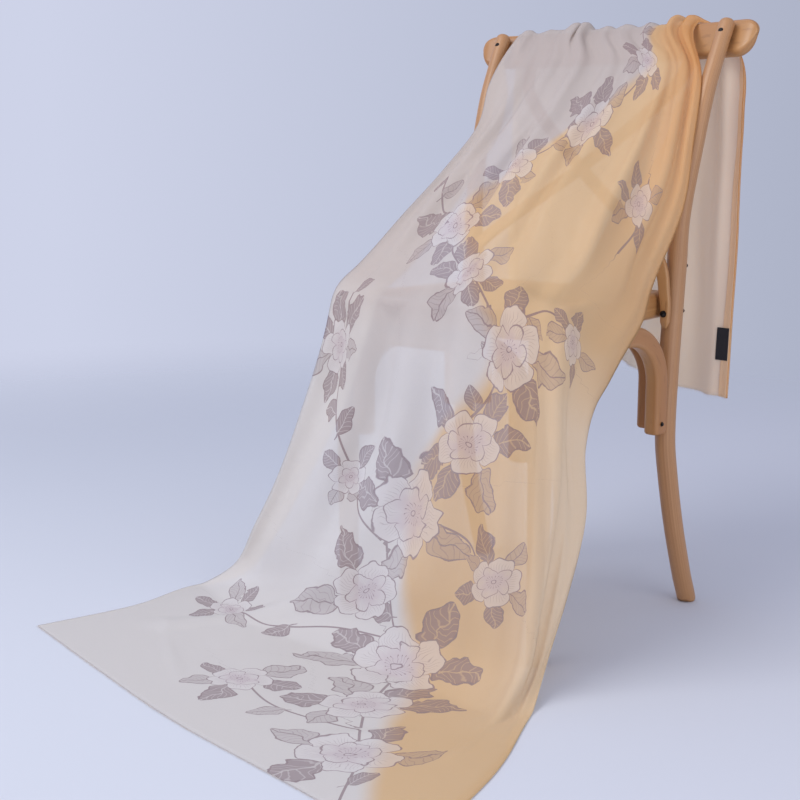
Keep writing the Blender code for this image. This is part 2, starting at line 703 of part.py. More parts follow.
def wall_mesh(name, grid, offset, thickness, material):
    """A closed wall on a grid of points, moved out from it along the grid's normals."""
    rows, columns = grid.shape[0] - 1, grid.shape[1] - 1
    normal = np.cross(np.gradient(grid, axis=1), np.gradient(grid, axis=0))
    normal /= np.linalg.norm(normal, axis=2, keepdims=True)
    mesh = bmesh.new()
    upper_grid = grid + normal * (offset + thickness / 2)
    upper = [[mesh.verts.new(p) for p in line] for line in upper_grid]
    lower_grid = grid + normal * (offset - thickness / 2)
    lower_grid[..., 2] = np.maximum(lower_grid[..., 2], 0)
    lower = [[mesh.verts.new(p) for p in line] for line in lower_grid]
    for i in range(rows):
        for j in range(columns):
            mesh.faces.new((upper[i][j], upper[i][j + 1], upper[i + 1][j + 1], upper[i + 1][j]))
            mesh.faces.new((lower[i][j], lower[i + 1][j], lower[i + 1][j + 1], lower[i][j + 1]))
    for i in range(rows):
        mesh.faces.new((upper[i][0], upper[i + 1][0], lower[i + 1][0], lower[i][0]))
        mesh.faces.new((upper[i][-1], lower[i][-1], lower[i + 1][-1], upper[i + 1][-1]))
    for j in range(columns):
        mesh.faces.new((upper[0][j], lower[0][j], lower[0][j + 1], upper[0][j + 1]))
        mesh.faces.new((upper[-1][j], upper[-1][j + 1], lower[-1][j + 1], lower[-1][j]))
    bmesh.ops.recalc_face_normals(mesh, faces=mesh.faces)
    data = bpy.data.meshes.new(name)
    mesh.to_mesh(data)
    mesh.free()
    data.shade_smooth()
    return add_mesh_object(name, data, material)


def make_stretch(name, first, last, rows):
    """One stretch of the shawl, from one section to another."""
    start = section_place(first) + (GAP / 2 if first > 0 else 0)
    end = section_place(last) - (GAP / 2 if last < len(TABLE) - 1 else 0)
    grid = np.empty((rows + 1, CELLS_ACROSS + 1, 3))
    counts = np.linspace(first, last, rows + 1)
    for i, count in enumerate(counts):
        along = min(max(section_place(count), start), end)
        for j in range(CELLS_ACROSS + 1):
            grid[i, j] = cloth_point(j / CELLS_ACROSS, along)
    wall_mesh(name, grid, 0, WALL, cashmere)


def along_at_height(share, height):
    """The distance along at which the tail has come down to a height."""
    low, high = ALONG[len(SECTIONS) + len(RAIL_SECTIONS)], ALONG[-1]
    for _ in range(30):
        middle = (low + high) / 2
        low, high = (middle, high) if cloth_point(share, middle)[2] > height else (low, middle)
    return low


def make_label():
    """A plain label on the side of the tail that faces the chair."""
    rows, columns = 6, 3
    grid = np.empty((rows + 1, columns + 1, 3))
    for i in range(rows + 1):
        height = LABEL_HIGH + (LABEL_LOW - LABEL_HIGH) * i / rows
        for j in range(columns + 1):
            share = LABEL_ACROSS[0] + (LABEL_ACROSS[1] - LABEL_ACROSS[0]) * j / columns
            grid[i, j] = cloth_point(share, along_at_height(share, height))
    offset = -(WALL / 2 + LABEL_SPACE + LABEL_THICKNESS / 2)
    wall_mesh("shawl_label", grid, offset, LABEL_THICKNESS, label_cloth)


def stand_on_origin():
    """Moves everything so that the middle of the whole box's underside is the origin."""
    bpy.context.view_layer.update()
    graph = bpy.context.evaluated_depsgraph_get()
    points = []
    for obj in model.objects:
        seen = obj.evaluated_get(graph)
        points += [seen.matrix_world @ vertex.co for vertex in seen.to_mesh().vertices]
        seen.to_mesh_clear()
    low, high = np.min(points, axis=0), np.max(points, axis=0)
    middle = (low + high) / 2
    for obj in model.objects:
        obj.location -= Vector((middle[0], middle[1], low[2]))


make_rear_leg("rear_leg_near", 1)
make_rear_leg("rear_leg_far", -1)
make_rail()
make_cross_strips()
make_seat()
make_front_leg("front_leg_near", 1)
make_front_leg("front_leg_far", -1)
make_arches()
make_bolts()
for stretch in STRETCHES:
    make_stretch(*stretch)
make_label()
stand_on_origin()
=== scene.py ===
from math import atan2, cos, pi, radians, sin, tan

import bpy
import numpy as np
from mathutils import Matrix, Vector


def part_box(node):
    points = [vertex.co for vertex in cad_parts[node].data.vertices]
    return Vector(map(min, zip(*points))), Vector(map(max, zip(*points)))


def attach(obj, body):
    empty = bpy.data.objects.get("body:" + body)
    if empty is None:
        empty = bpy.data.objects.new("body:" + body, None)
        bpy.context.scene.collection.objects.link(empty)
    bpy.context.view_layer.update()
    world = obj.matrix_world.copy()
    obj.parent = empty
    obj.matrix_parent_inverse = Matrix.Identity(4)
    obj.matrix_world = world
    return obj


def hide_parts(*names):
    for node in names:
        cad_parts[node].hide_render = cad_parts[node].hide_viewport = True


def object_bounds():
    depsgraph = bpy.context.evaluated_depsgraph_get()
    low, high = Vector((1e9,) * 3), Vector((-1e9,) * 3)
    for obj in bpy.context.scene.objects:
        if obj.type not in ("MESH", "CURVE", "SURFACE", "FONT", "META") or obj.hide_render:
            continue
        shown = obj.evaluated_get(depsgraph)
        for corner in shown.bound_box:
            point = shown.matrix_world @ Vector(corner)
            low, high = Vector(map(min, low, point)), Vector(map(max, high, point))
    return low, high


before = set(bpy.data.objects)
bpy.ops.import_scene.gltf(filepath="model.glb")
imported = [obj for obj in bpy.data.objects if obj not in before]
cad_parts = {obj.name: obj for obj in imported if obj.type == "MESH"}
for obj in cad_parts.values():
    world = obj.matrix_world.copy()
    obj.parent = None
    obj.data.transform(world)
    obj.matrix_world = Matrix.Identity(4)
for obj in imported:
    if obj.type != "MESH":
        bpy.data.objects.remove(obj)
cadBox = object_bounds()
scene = bpy.context.scene
scene.view_settings.view_transform = "Standard"
random = np.random.default_rng(11)

# Lengths are in metres. The tables are in the chair's own frame: the sitter looks along -Y,
# x is 0 in the middle of the seat and z is 0 on the floor.
seat = {
    "top": 0.475, "thickness": 0.038, "frontY": -0.350, "rearY": 0.018,
    "frontHalf": 0.194, "rearHalf": 0.1642, "frontCorner": 0.058, "rearCorner": 0.022,
    "ringWidth": 0.034, "edgeRound": 0.009, "caneTop": 0.4675, "strandStep": 0.0085,
    "strandWidth": 0.0024, "strandThickness": 0.0009,
}
ringLow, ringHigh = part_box("seat_ring")
shift = np.array([(ringLow[0] + ringHigh[0]) / 2, ringLow[1] - seat["frontY"], 0.0])


class Wire:
    # one socket of a material's nodes, which can stand in a sum

    def __init__(self, finish, socket):
        self.finish = finish
        self.socket = socket

    def __add__(self, other):
        return self.finish.math("ADD", self, other)

    def __radd__(self, other):
        return self.finish.math("ADD", other, self)

    def __sub__(self, other):
        return self.finish.math("SUBTRACT", self, other)

    def __rsub__(self, other):
        return self.finish.math("SUBTRACT", other, self)

    def __mul__(self, other):
        return self.finish.math("MULTIPLY", self, other)

    def __rmul__(self, other):
        return self.finish.math("MULTIPLY", other, self)

    def __truediv__(self, other):
        return self.finish.math("DIVIDE", self, other)

    def __pow__(self, other):
        return self.finish.math("POWER", self, other)

    def __abs__(self):
        return self.finish.math("ABSOLUTE", self)


class Finish:
    # a material under construction, or the world's nodes

    def __init__(self, name, holder=None):
        self.holder = holder or bpy.data.materials.new(name)
        self.holder.use_nodes = True
        self.tree = self.holder.node_tree
        self.tree.nodes.clear()

    def node(self, kind, settings, sockets, output=0):
        made = self.tree.nodes.new(kind)
        for key, value in settings.items():
            setattr(made, key, value)
        for key, value in sockets.items():
            if isinstance(value, Wire):
                self.tree.links.new(value.socket, made.inputs[key])
            else:
                made.inputs[key].default_value = value
        return Wire(self, made.outputs[output])

    def math(self, operation, *values):
        return self.node("ShaderNodeMath", {"operation": operation}, dict(enumerate(values)))

    def most(self, value, *others):
        # the highest of some values
        for other in others:
            value = self.math("MAXIMUM", value, other)
        return value

    def fade(self, low, high, value):
        # 0 below low, 1 above high, smooth between
        settings = {"interpolation_type": "SMOOTHSTEP"}
        return self.node("ShaderNodeMapRange", settings, {0: value, 1: low, 2: high})

    def line(self, distance, half, soft):
        # 1 on a line that is twice half wide
        return 1 - self.fade(half, half + soft, abs(distance))

    def blend(self, factor, first, second):
        sockets = {0: factor, 6: first, 7: second}
        return self.node("ShaderNodeMix", {"data_type": "RGBA"}, sockets, 2)

    def attribute(self, name):
        return self.node("ShaderNodeAttribute", {"attribute_name": name}, {}, 1)

    def place(self):
        # the piece's own Object coordinates
        return self.node("ShaderNodeTexCoord", {}, {}, 3)

    def parts(self, vector):
        made = self.node("ShaderNodeSeparateXYZ", {}, {0: vector})
        return [Wire(self, output) for output in made.socket.node.outputs]

    def stretch(self, vector, scale):
        return self.node("ShaderNodeMapping", {}, {"Vector": vector, "Scale": scale})

    def noise(self, vector, scale, detail=3.0, roughness=0.5):
        sockets = {"Vector": vector, "Scale": scale, "Detail": detail, "Roughness": roughness}
        return self.node("ShaderNodeTexNoise", {}, sockets)

    def bump(self, height, strength, distance):
        sockets = {"Strength": strength, "Distance": distance, "Height": height}
        return self.node("ShaderNodeBump", {}, sockets)

    def surface(self, sockets):
        return self.node("ShaderNodeBsdfPrincipled", {}, sockets)

    def finish(self, shader, output="ShaderNodeOutputMaterial"):
        made = self.tree.nodes.new(output)
        self.tree.links.new(shader.socket, made.inputs[0])
        return self.holder


def tint(red, green, blue, alpha=1.0):
    # a colour given as it is seen on a screen, 0 to 255
    def linear(value):
        value /= 255
        return value / 12.92 if value <= 0.04045 else ((value + 0.055) / 1.055) ** 2.4
    return (linear(red), linear(green), linear(blue), alpha)


def addObject(name, data):
    obj = bpy.data.objects.new(name, data)
    scene.collection.objects.link(obj)
    return obj


def makePiece(name, points, faces, materials, faceMaterials=None):
    data = bpy.data.meshes.new(name)
    data.from_pydata(np.asarray(points).tolist(), [], faces)
    for material in materials:
        data.materials.append(material)
    if faceMaterials is not None:
        data.polygons.foreach_set("material_index", faceMaterials)
    data.update()
    data.shade_smooth()
    return addObject(name, data)


def hermite(t):
    return (2 * t**3 - 3 * t**2 + 1, t**3 - 2 * t**2 + t, 3 * t**2 - 2 * t**3, t**3 - t**2)


def smoothRow(rows, value):
    # a smooth row between the rows of a table whose first column rises
    data = np.array(rows)
    keys = data[:, 0]
    k = int(min(max(np.searchsorted(keys, value) - 1, 0), len(keys) - 2))
    before, after = data[max(k - 1, 0)], data[min(k + 2, len(keys) - 1)]
    span = keys[k + 1] - keys[k]
    start = (data[k + 1] - before) / (keys[k + 1] - before[0]) * span
    end = (after - data[k]) / (after[0] - keys[k]) * span
    h0, h1, h2, h3 = hermite((value - keys[k]) / span)
    return data[k] * h0 + start * h1 + data[k + 1] * h2 + end * h3


def unit(vectors):
    return vectors / np.linalg.norm(vectors, axis=-1, keepdims=True)


def distances(points):
    # how far along a path each of its points lies
    return np.concatenate([[0], np.cumsum(np.linalg.norm(np.diff(points, axis=0), axis=1))])


def roundSection(sides):
    angles = np.arange(sides) * 2 * pi / sides
    return np.stack([np.cos(angles), np.sin(angles)], axis=1)


def barSection(width, depth, corner, steps):
    points = []
    for quarter in range(4):
        signA = 1 if quarter in (0, 3) else -1
        signB = 1 if quarter in (0, 1) else -1
        for step in range(steps + 1):
            angle = quarter * pi / 2 + step * pi / 2 / steps
            a = signA * (width / 2 - corner) + corner * cos(angle)
            b = signB * (depth / 2 - corner) + corner * sin(angle)
            points.append((a, b))
    return np.array(points)


def ringFaces(rings, sides, first=0, closed=False):
    # quads between rings of points that follow each other
    faces = []
    for ring in range(rings if closed else rings - 1):
        low, high = first + ring * sides, first + (ring + 1) % rings * sides
        for k in range(sides):
            n = (k + 1) % sides
            faces.append((low + k, low + n, high + n, high + k))
    return faces


def shellFaces(rows, columns):
    # a closed shell of two grids of points: the front's quads, the back's and the rim's
    count = (rows + 1) * (columns + 1)
    index = np.arange(count).reshape(rows + 1, columns + 1)
    a, b = index[:-1, :-1].ravel(), index[:-1, 1:].ravel()
    c, d = index[1:, 1:].ravel(), index[1:, :-1].ravel()
    rim = np.concatenate([index[0, :], index[1:, -1], index[-1, -2::-1], index[-2:0:-1, 0]])
    after = np.roll(rim, -1)
    return (np.stack([a, b, c, d], axis=1), np.stack([a, d, c, b], axis=1) + count,
            np.stack([rim, rim + count, after + count, after], axis=1))


def sweep(name, path, across, section, sizes, material, lifts=None):
    # a bar along a path; sizes scale the section's two sides at each point
    path = np.array(path, float)
    ahead = np.gradient(path, axis=0)
    across = np.broadcast_to(np.array(across, float), path.shape)
    other = unit(np.cross(ahead, across))
    first = unit(np.cross(other, ahead))
    if lifts is not None:
        path = path + first * np.array(lifts)[:, None]
    sizes = np.array(sizes, float)
    count, sides = len(path), len(section)
    a = section[None, :, 0:1] * sizes[:, None, 0:1]
    b = section[None, :, 1:2] * sizes[:, None, 1:2]
    points = path[:, None] + first[:, None] * a + other[:, None] * b
    faces = ringFaces(count, sides)
    faces.append(tuple(range(sides))[::-1])
    faces.append(tuple((count - 1) * sides + k for k in range(sides)))
    obj = makePiece(name, points.reshape(-1, 3) + shift, faces, [material])
    flipIfInside(obj.data)
    girth = np.linalg.norm(section, axis=1).mean() * 2 * pi
    around = np.linspace(0, 1, sides, endpoint=False) * girth
    grain = np.stack(np.broadcast_arrays(around[None, :], distances(path)[:, None]), axis=2)
    addUv(obj.data, grain.reshape(-1, 2), "grain")
    return obj


def flipIfInside(data):
    corners = np.empty(len(data.vertices) * 3)
    data.vertices.foreach_get("co", corners)
    corners = corners.reshape(-1, 3)
    centre = corners.mean(axis=0)
    volume = 0.0
    for face in data.polygons:
        places = corners[list(face.vertices)] - centre
        for k in range(1, len(places) - 1):
            volume += np.dot(places[0], np.cross(places[k], places[k + 1]))
    if volume < 0:
        data.flip_normals()


def addUv(data, flat, name):
    # a UV map from one flat place for each point
    loops = np.empty(len(data.loops), np.int32)
    data.loops.foreach_get("vertex_index", loops)
    layer = data.uv_layers.new(name=name)
    layer.data.foreach_set("uv", flat[loops].ravel())


def addVectors(data, name, domain, values):
    layer = data.attributes.new(name, "FLOAT_VECTOR", domain)
    layer.data.foreach_set("vector", np.asarray(values, float).ravel())


def repeatOnPoints(name, places, turns, sizes, template, material, inputs):
    # copies of a small template on points, each with its own turn and size
    data = bpy.data.meshes.new(name + "Points")
    data.from_pydata(np.asarray(places).tolist(), [], [])
    addVectors(data, "turn", "POINT", turns)
    addVectors(data, "size", "POINT", sizes)
    holder = addObject(name + "Points", data)
    tree = bpy.data.node_groups.new(name + "Tree", "GeometryNodeTree")
    sockets = {}
    for title, kind, value in (
        ("Geometry", "Geometry", None), ("Template", "Object", template),
        ("Finish", "Material", material), ("Scale", "Float", inputs.get("scale", 1.0)),
        ("Least Scale", "Float", inputs.get("least", 1.0)), ("Seed", "Int", inputs["seed"]),
    ):
        made = tree.interface.new_socket(title, in_out="INPUT", socket_type="NodeSocket" + kind)
        sockets[made.identifier] = value
    tree.interface.new_socket("Geometry", in_out="OUTPUT", socket_type="NodeSocketGeometry")

    def add(kind, links, **settings):
        made = tree.nodes.new(kind)
        for key, value in settings.items():
            setattr(made, key, value)
        for key, source in links.items():
            if isinstance(source, bpy.types.NodeSocket):
                tree.links.new(source, made.inputs[key])
            else:
                made.inputs[key].default_value = source
        return made

    given = add("NodeGroupInput", {}).outputs
    turn, size = (add("GeometryNodeInputNamedAttribute", {"Name": key}, data_type="FLOAT_VECTOR")
                  for key in ("turn", "size"))
    chance = add("FunctionNodeRandomValue", {"Seed": given["Seed"]}, data_type="FLOAT")
    least, most, *_ = (socket for socket in chance.inputs if socket.type == "VALUE")
    tree.links.new(given["Least Scale"], least)
    tree.links.new(given["Scale"], most)
    draw = next(socket for socket in chance.outputs if socket.type == "VALUE")
    scaled = add("ShaderNodeVectorMath", {0: size.outputs[0], "Scale": draw}, operation="SCALE")
    shape = add("GeometryNodeObjectInfo", {"Object": given["Template"]})
    copies = add("GeometryNodeInstanceOnPoints", {
        "Points": given["Geometry"], "Instance": shape.outputs["Geometry"],
        "Rotation": turn.outputs[0], "Scale": scaled.outputs[0],
    })
    solid = add("GeometryNodeRealizeInstances", {"Geometry": copies.outputs[0]})
    dressed = add("GeometryNodeSetMaterial", {
        "Geometry": solid.outputs[0], "Material": given["Finish"],
    })
    add("NodeGroupOutput", {0: dressed.outputs[0]})
    modifier = holder.modifiers.new("repeat", "NODES")
    modifier.node_group = tree
    for identifier, value in sockets.items():
        if value is not None:
            modifier[identifier] = value
    bpy.context.view_layer.update()
    evaluated = holder.evaluated_get(bpy.context.evaluated_depsgraph_get())
    made = bpy.data.meshes.new_from_object(evaluated)
    bpy.data.objects.remove(holder)
    bpy.data.objects.remove(template)
    made.name = name
    for key in ("turn", "size"):
        if key in made.attributes:
            made.attributes.remove(made.attributes[key])
    made.shade_smooth()
    made.set_sharp_from_angle(angle=radians(45))
    return addObject(name, made)


def dress(obj, nodes):
    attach(obj, "root")
    if nodes:
        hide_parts(*nodes)
    return obj


def makeWood(name, light, dark, seed):
    finish = Finish(name)
    u, v, _ = finish.parts(finish.attribute("grain"))
    place = finish.node("ShaderNodeCombineXYZ", {}, {0: u, 1: v, 2: seed})
    broad = finish.noise(finish.stretch(place, (34, 2.2, 1)), 1.0, 3.0, 0.55)
    fine = finish.noise(finish.stretch(place, (420, 9, 1)), 1.0, 4.0, 0.6)
    pores = finish.fade(0.60, 0.72, finish.noise(finish.stretch(place, (900, 38, 1)), 1.0, 2.0))
    body = finish.blend(finish.fade(0.30, 0.72, broad), tint(*light), tint(*dark))
    body = finish.blend(fine * 0.35, body, tint(*[value * 0.80 for value in dark]))
    body = finish.blend(pores * 0.28, body, tint(118, 74, 44))
    bump = finish.bump(fine * 0.6 + broad * 0.4 - pores * 0.5, 0.20, 0.0008)
    return finish.finish(finish.surface({
        "Base Color": body, "Roughness": 0.34 + fine * 0.16, "Normal": bump,
        "Coat Weight": 0.18, "Coat Roughness": 0.25,
    }))


def makeMottled(name, scale, noise, colours, roughness, bump=None, span=None, metallic=0.0):
    # a finish that wavers between two colours
    finish = Finish(name)
    shade = finish.noise(finish.stretch(finish.place(), scale), 1.0, *noise)
    share = finish.fade(*span, shade) if span else shade
    sockets = {"Base Color": finish.blend(share, *[tint(*colour) for colour in colours]),
               "Roughness": roughness[0] + shade * roughness[1], "Metallic": metallic}
    if bump:
        sockets["Normal"] = finish.bump(shade, *bump)
    return finish.finish(finish.surface(sockets))


wood = makeWood("honeyBeech", (202, 152, 98), (176, 120, 70), 0.3)
darkWood = makeWood("honeyBeechLegs", (203, 154, 106), (170, 118, 76), 2.1)
steel = makeMottled("blackenedSteel", (620, 620, 620), (4.0, 0.6), ((30, 27, 27), (92, 84, 78)),
                    (0.30, 0.35), (0.2, 0.0002), (0.45, 0.75), 0.85)
caneFinish = makeMottled("caneStrands", (90, 90, 90), (4.0,), ((214, 178, 124), (176, 134, 82)),
                         (0.42, 0.2), (0.3, 0.0004), (0.3, 0.7))


rail = {
    "half": 0.243, "height": 0.056, "thickness": 0.018, "tilt": radians(22),
    "z": 0.8365, "endY": 0.0930, "bow": 0.030, "roundFrom": 0.89, "rise": 0.16,
}
leg = {  # height, distance back, distance out, radius
    "rows": (
        (0.0000, 0.0440, 0.1943, 0.0140), (0.0050, 0.0440, 0.1943, 0.0140),
        (0.0425, 0.0290, 0.1930, 0.0142), (0.1330, 0.0000, 0.1905, 0.0145),
        (0.2170, -0.0190, 0.1880, 0.0147), (0.2650, -0.0245, 0.1862, 0.0148),
        (0.3630, -0.0170, 0.1835, 0.0149), (0.4640, -0.0050, 0.1812, 0.0149),
        (0.5100, -0.0030, 0.1825, 0.0146), (0.5850, -0.0030, 0.1865, 0.0138),
        (0.6880, 0.0200, 0.1925, 0.0128), (0.7620, 0.0425, 0.1955, 0.0122),
        (0.8200, 0.0693, 0.1975, 0.0118), (0.8550, 0.0872, 0.1990, 0.0118),
    ),
    "sides": 28, "steps": 90, "headRise": 0.0088, "headLean": 0.42,
}
frontLeg = {"x": 0.170, "y": -0.322, "topRadius": 0.0175, "footRadius": 0.0135}
arch = {"width": 0.024, "depth": 0.029, "corner": 0.007, "foot": 0.274, "bend": 0.075}
strip = {"width": 0.020, "thickness": 0.009, "space": 0.0022, "screwZ": 0.446}
gap = 0.0003
legTop = seat["top"] - seat["thickness"] - gap


def railY(x):
    return rail["endY"] + rail["bow"] * (1 - (x / rail["half"]) ** 2)


def legAt(height):
    return smoothRow(leg["rows"], height)[1:]


def makeRearLeg(side, word):
    top = leg["rows"][-1][0]
    heights = np.concatenate([[0, 0.0015, 0.004], np.linspace(0.01, top, leg["steps"])])
    path, sizes = [], []
    for height in heights:
        back, out, radius = legAt(height)
        shrink = {0.0: 0.90, 0.0015: 0.97}.get(float(height), 1.0)
        path.append((side * out, back, height))
        sizes.append((radius * shrink, radius * shrink))
    for angle in np.radians(np.linspace(12, 86, 8)):  # the rounded head
        rise = leg["headRise"] * sin(angle)
        path.append((side * out, back + rise * leg["headLean"], top + rise))
        sizes.append((radius * cos(angle) ** 0.75,) * 2)
    obj = sweep("rearLeg" + word, path, (1, 0, 0), roundSection(leg["sides"]), sizes, darkWood)
    dress(obj, ["rear_leg_" + word.lower()])


def makeFrontLeg(side, word):
    heights = np.linspace(0, legTop, 30)
    radii = np.interp(heights, (0, legTop), (frontLeg["footRadius"], frontLeg["topRadius"]))
    path = [(side * frontLeg["x"], frontLeg["y"], height) for height in heights]
    obj = sweep("frontLeg" + word, path, (1, 0, 0), roundSection(leg["sides"]),
                np.stack([radii, radii], axis=1), darkWood)
    dress(obj, ["front_leg_" + word.lower()])


def archPath(start, end):
    middleZ = legTop - arch["depth"] / 2
    bend, low = arch["bend"], arch["foot"]
    run = np.array(end) - np.array(start)
    length = np.linalg.norm(run)
    run /= length
    path = [(0, low), (0, low + 0.0015), (0, low + 0.004)]
    path += [(0, low + (middleZ - bend - low) * k / 6) for k in range(1, 6)]
    path += [(bend * (1 - cos(a)), middleZ - bend * (1 - sin(a)))
             for a in np.linspace(0, pi / 2, 18)]
    level = np.linspace(bend, length - bend, 8)[1:-1]
    whole = path + [(x, middleZ) for x in level] + [(length - x, z) for x, z in reversed(path)]
    return [(start[0] + run[0] * x, start[1] + run[1] * x, z) for x, z in whole]


def makeArch(word, start, end, across):
    path = archPath(start, end)
    sizes = np.ones((len(path), 2))
    sizes[[0, -1]] = 0.80
    sizes[[1, -2]] = 0.94
    section = barSection(arch["width"], arch["depth"], arch["corner"], 6)
    obj = sweep("arch" + word, path, across, section, sizes, wood)
    dress(obj, ["arch_" + word.lower()])


def makeArches():
    beside = [legAt(arch["foot"] + rise) for rise in (0, 0.02, 0.04, 0.06, 0.08)]
    back, out, _ = beside[1]
    half = arch["depth"] / 2
    archY = min(row[0] - row[2] for row in beside) + 2 * gap - half
    archX = min(row[1] - row[2] for row in beside) - gap - half
    reach = frontLeg["topRadius"] - 2 * gap + half
    for side, word in bothSides:
        start = (side * out, archY)
        end = (side * frontLeg["x"], frontLeg["y"] + reach)
        run = Vector((end[0] - start[0], end[1] - start[1], 0))
        makeArch(word, start, end, run.cross(Vector((0, 0, 1))).normalized())
    edge = frontLeg["x"] - reach
    for word, x, y in (("Front", edge, frontLeg["y"]), ("Rear", archX, back + 0.004)):
        makeArch(word, (x, y), (-x, y), (0, 1, 0))


def makeRail():
    path, sizes, lifts = [], [], []
    for angle in np.linspace(0, pi, 110):
        x = -rail["half"] * cos(angle)
        rounding = (abs(x) / rail["half"] - rail["roundFrom"]) / (1 - rail["roundFrom"])
        rounding = min(max(rounding, 0.0), 1.0)
        height = max(0.16, (1 - rounding**2.2) ** 0.5)
        path.append((x, railY(x), rail["z"]))
        sizes.append((height, max(0.30, (1 - rounding**4) ** 0.5)))
        lifts.append((1 - height) * rail["height"] * rail["rise"])
    up = (0, sin(rail["tilt"]), cos(rail["tilt"]))
    section = barSection(rail["height"], rail["thickness"], rail["thickness"] / 2 - 0.0002, 9)
    dress(sweep("topRail", path, up, section, sizes, wood, lifts), ["top_rail"])


def stripPath(side, lift):
    back, out, radius = legAt(strip["screwZ"])
    footY = back - radius - strip["space"] - strip["thickness"] / 2
    rows = (
        (0.0, side * out, footY, 0.425), (0.5, side * (out - 0.001), footY - 0.001, 0.470),
        (1.0, side * 0.160, footY + 0.002, 0.530), (2.0, 0.0, 0.022 + lift, 0.655),
        (3.0, -side * 0.118, 0.062 + lift, 0.760),
        (3.6, -side * 0.146, railY(0.146) - 0.0192, 0.815),
    )
    return np.array([smoothRow(rows, 3.6 * k / 70)[1:] for k in range(71)])


def makeStrips():
    section = barSection(strip["width"], strip["thickness"], 0.0038, 5)
    for side, word, lift in ((1, "A", -0.0075), (-1, "B", 0.0075)):
        path = stripPath(side, lift)
        across = unit(np.cross(np.gradient(path, axis=0), (0, 1, -0.22)))
        sizes = np.ones((len(path), 2))
        sizes[:20, 0] = np.linspace(0.66, 1.0, 20)
        sizes[0] = sizes[-1] = (0.34, 0.6)
        sizes[1] *= 0.80
        sizes[-2] *= 0.85
        obj = sweep("crossStrip" + word, path, across, section, sizes, wood)
        dress(obj, ["cross_strip_" + word.lower()])


def roundedOutline(corners, steps):
    points = []
    for i, (x, y, radius) in enumerate(corners):
        here = Vector((x, y))
        toLast, toNext = ((Vector(corners[k % len(corners)][:2]) - here).normalized()
                          for k in (i - 1, i + 1))
        half = toLast.angle(toNext) / 2
        centre = here + (toLast + toNext).normalized() * radius / sin(half)
        start = here + toLast * radius / tan(half) - centre
        end = here + toNext * radius / tan(half) - centre
        first = atan2(start.y, start.x)
        turn = (atan2(end.y, end.x) - first + pi) % (2 * pi) - pi
        for k in range(steps + 1):
            angle = first + turn * k / steps
            points.append(centre + radius * Vector((cos(angle), sin(angle))))
    return points


def seatOutline(inset, steps=14):
    front, rear = seat["frontY"] + inset, seat["rearY"] - inset
    slope = (seat["frontHalf"] - seat["rearHalf"]) / (seat["rearY"] - seat["frontY"])
    corners = []
    for side, half, y, end in (
        (-1, "frontHalf", front, "front"), (1, "frontHalf", front, "front"),
        (1, "rearHalf", rear, "rear"), (-1, "rearHalf", rear, "rear"),
    ):
        narrower = inset * (1 + slope if end == "front" else 1 - slope)
        radius = max(seat[end + "Corner"] - inset, 0.004)
        corners.append((side * (seat[half] - narrower), y, radius))
    return roundedOutline(corners, steps)


def makeSeatRing():
    section = barSection(seat["ringWidth"], seat["thickness"], seat["edgeRound"], 6)
    height, half = seat["top"] - seat["thickness"] / 2, seat["ringWidth"] / 2
    points = np.array([[(p.x, p.y, height + b) for p in seatOutline(half - float(a))]
                       for a, b in section])
    count, around = points.shape[:2]
    obj = makePiece("seatRing", points.reshape(-1, 3) + shift,
                    ringFaces(count, around, closed=True), [wood])
    flipIfInside(obj.data)
    along = distances(points[0])
    flat = [(k * 0.12 / count, gone) for k in range(count) for gone in along]
    addUv(obj.data, np.array(flat), "grain")
    dress(obj, ["seat_ring"])


def makeCaneSeat():
    # strands run both ways and on both diagonals, and end inside the ring
    inner = [np.array(p) for p in seatOutline(seat["ringWidth"] - 0.004, 6)]
    seatMiddle = np.array((0.0, (seat["frontY"] + seat["rearY"]) / 2))
    places, turns, sizes = [], [], []
    for degrees, level in ((0, 0.0), (90, 0.0009), (45, -0.0009), (135, -0.0018)):
        direction = np.array((cos(radians(degrees)), sin(radians(degrees))))
        normal = np.array((-direction[1], direction[0]))
        step = seat["strandStep"] * (1.0 if degrees in (0, 90) else 2 ** 0.5)
        for offset in np.arange(-0.36, 0.36, step):
            origin = normal * offset + seatMiddle
            hits = []
            for a, b in zip(inner, inner[1:] + inner[:1]):
                sideA, sideB = (a - origin) @ normal, (b - origin) @ normal
                if sideA * sideB < 0:
                    hits.append((a - origin + (b - a) * sideA / (sideA - sideB)) @ direction)
            if len(hits) == 2:
                middle = origin + direction * sum(hits) / 2
                places.append((*middle, seat["caneTop"] - 0.0012 + level))
                turns.append((0, 0, radians(degrees)))
                sizes.append((abs(hits[0] - hits[1]), seat["strandWidth"], seat["strandThickness"]))
    strand = sweep("strand", [(-0.5, 0, 0), (0.5, 0, 0)], (0, 0, 1), barSection(1, 1, 0.35, 2),
                   np.ones((2, 2)), caneFinish)
    strand.data.transform(Matrix.Translation(-Vector(shift)))
    obj = repeatOnPoints("caneSeat", np.array(places) + shift, turns, sizes, strand, caneFinish,
                         {"seed": 3})
    dress(obj, ["seat_cane"])


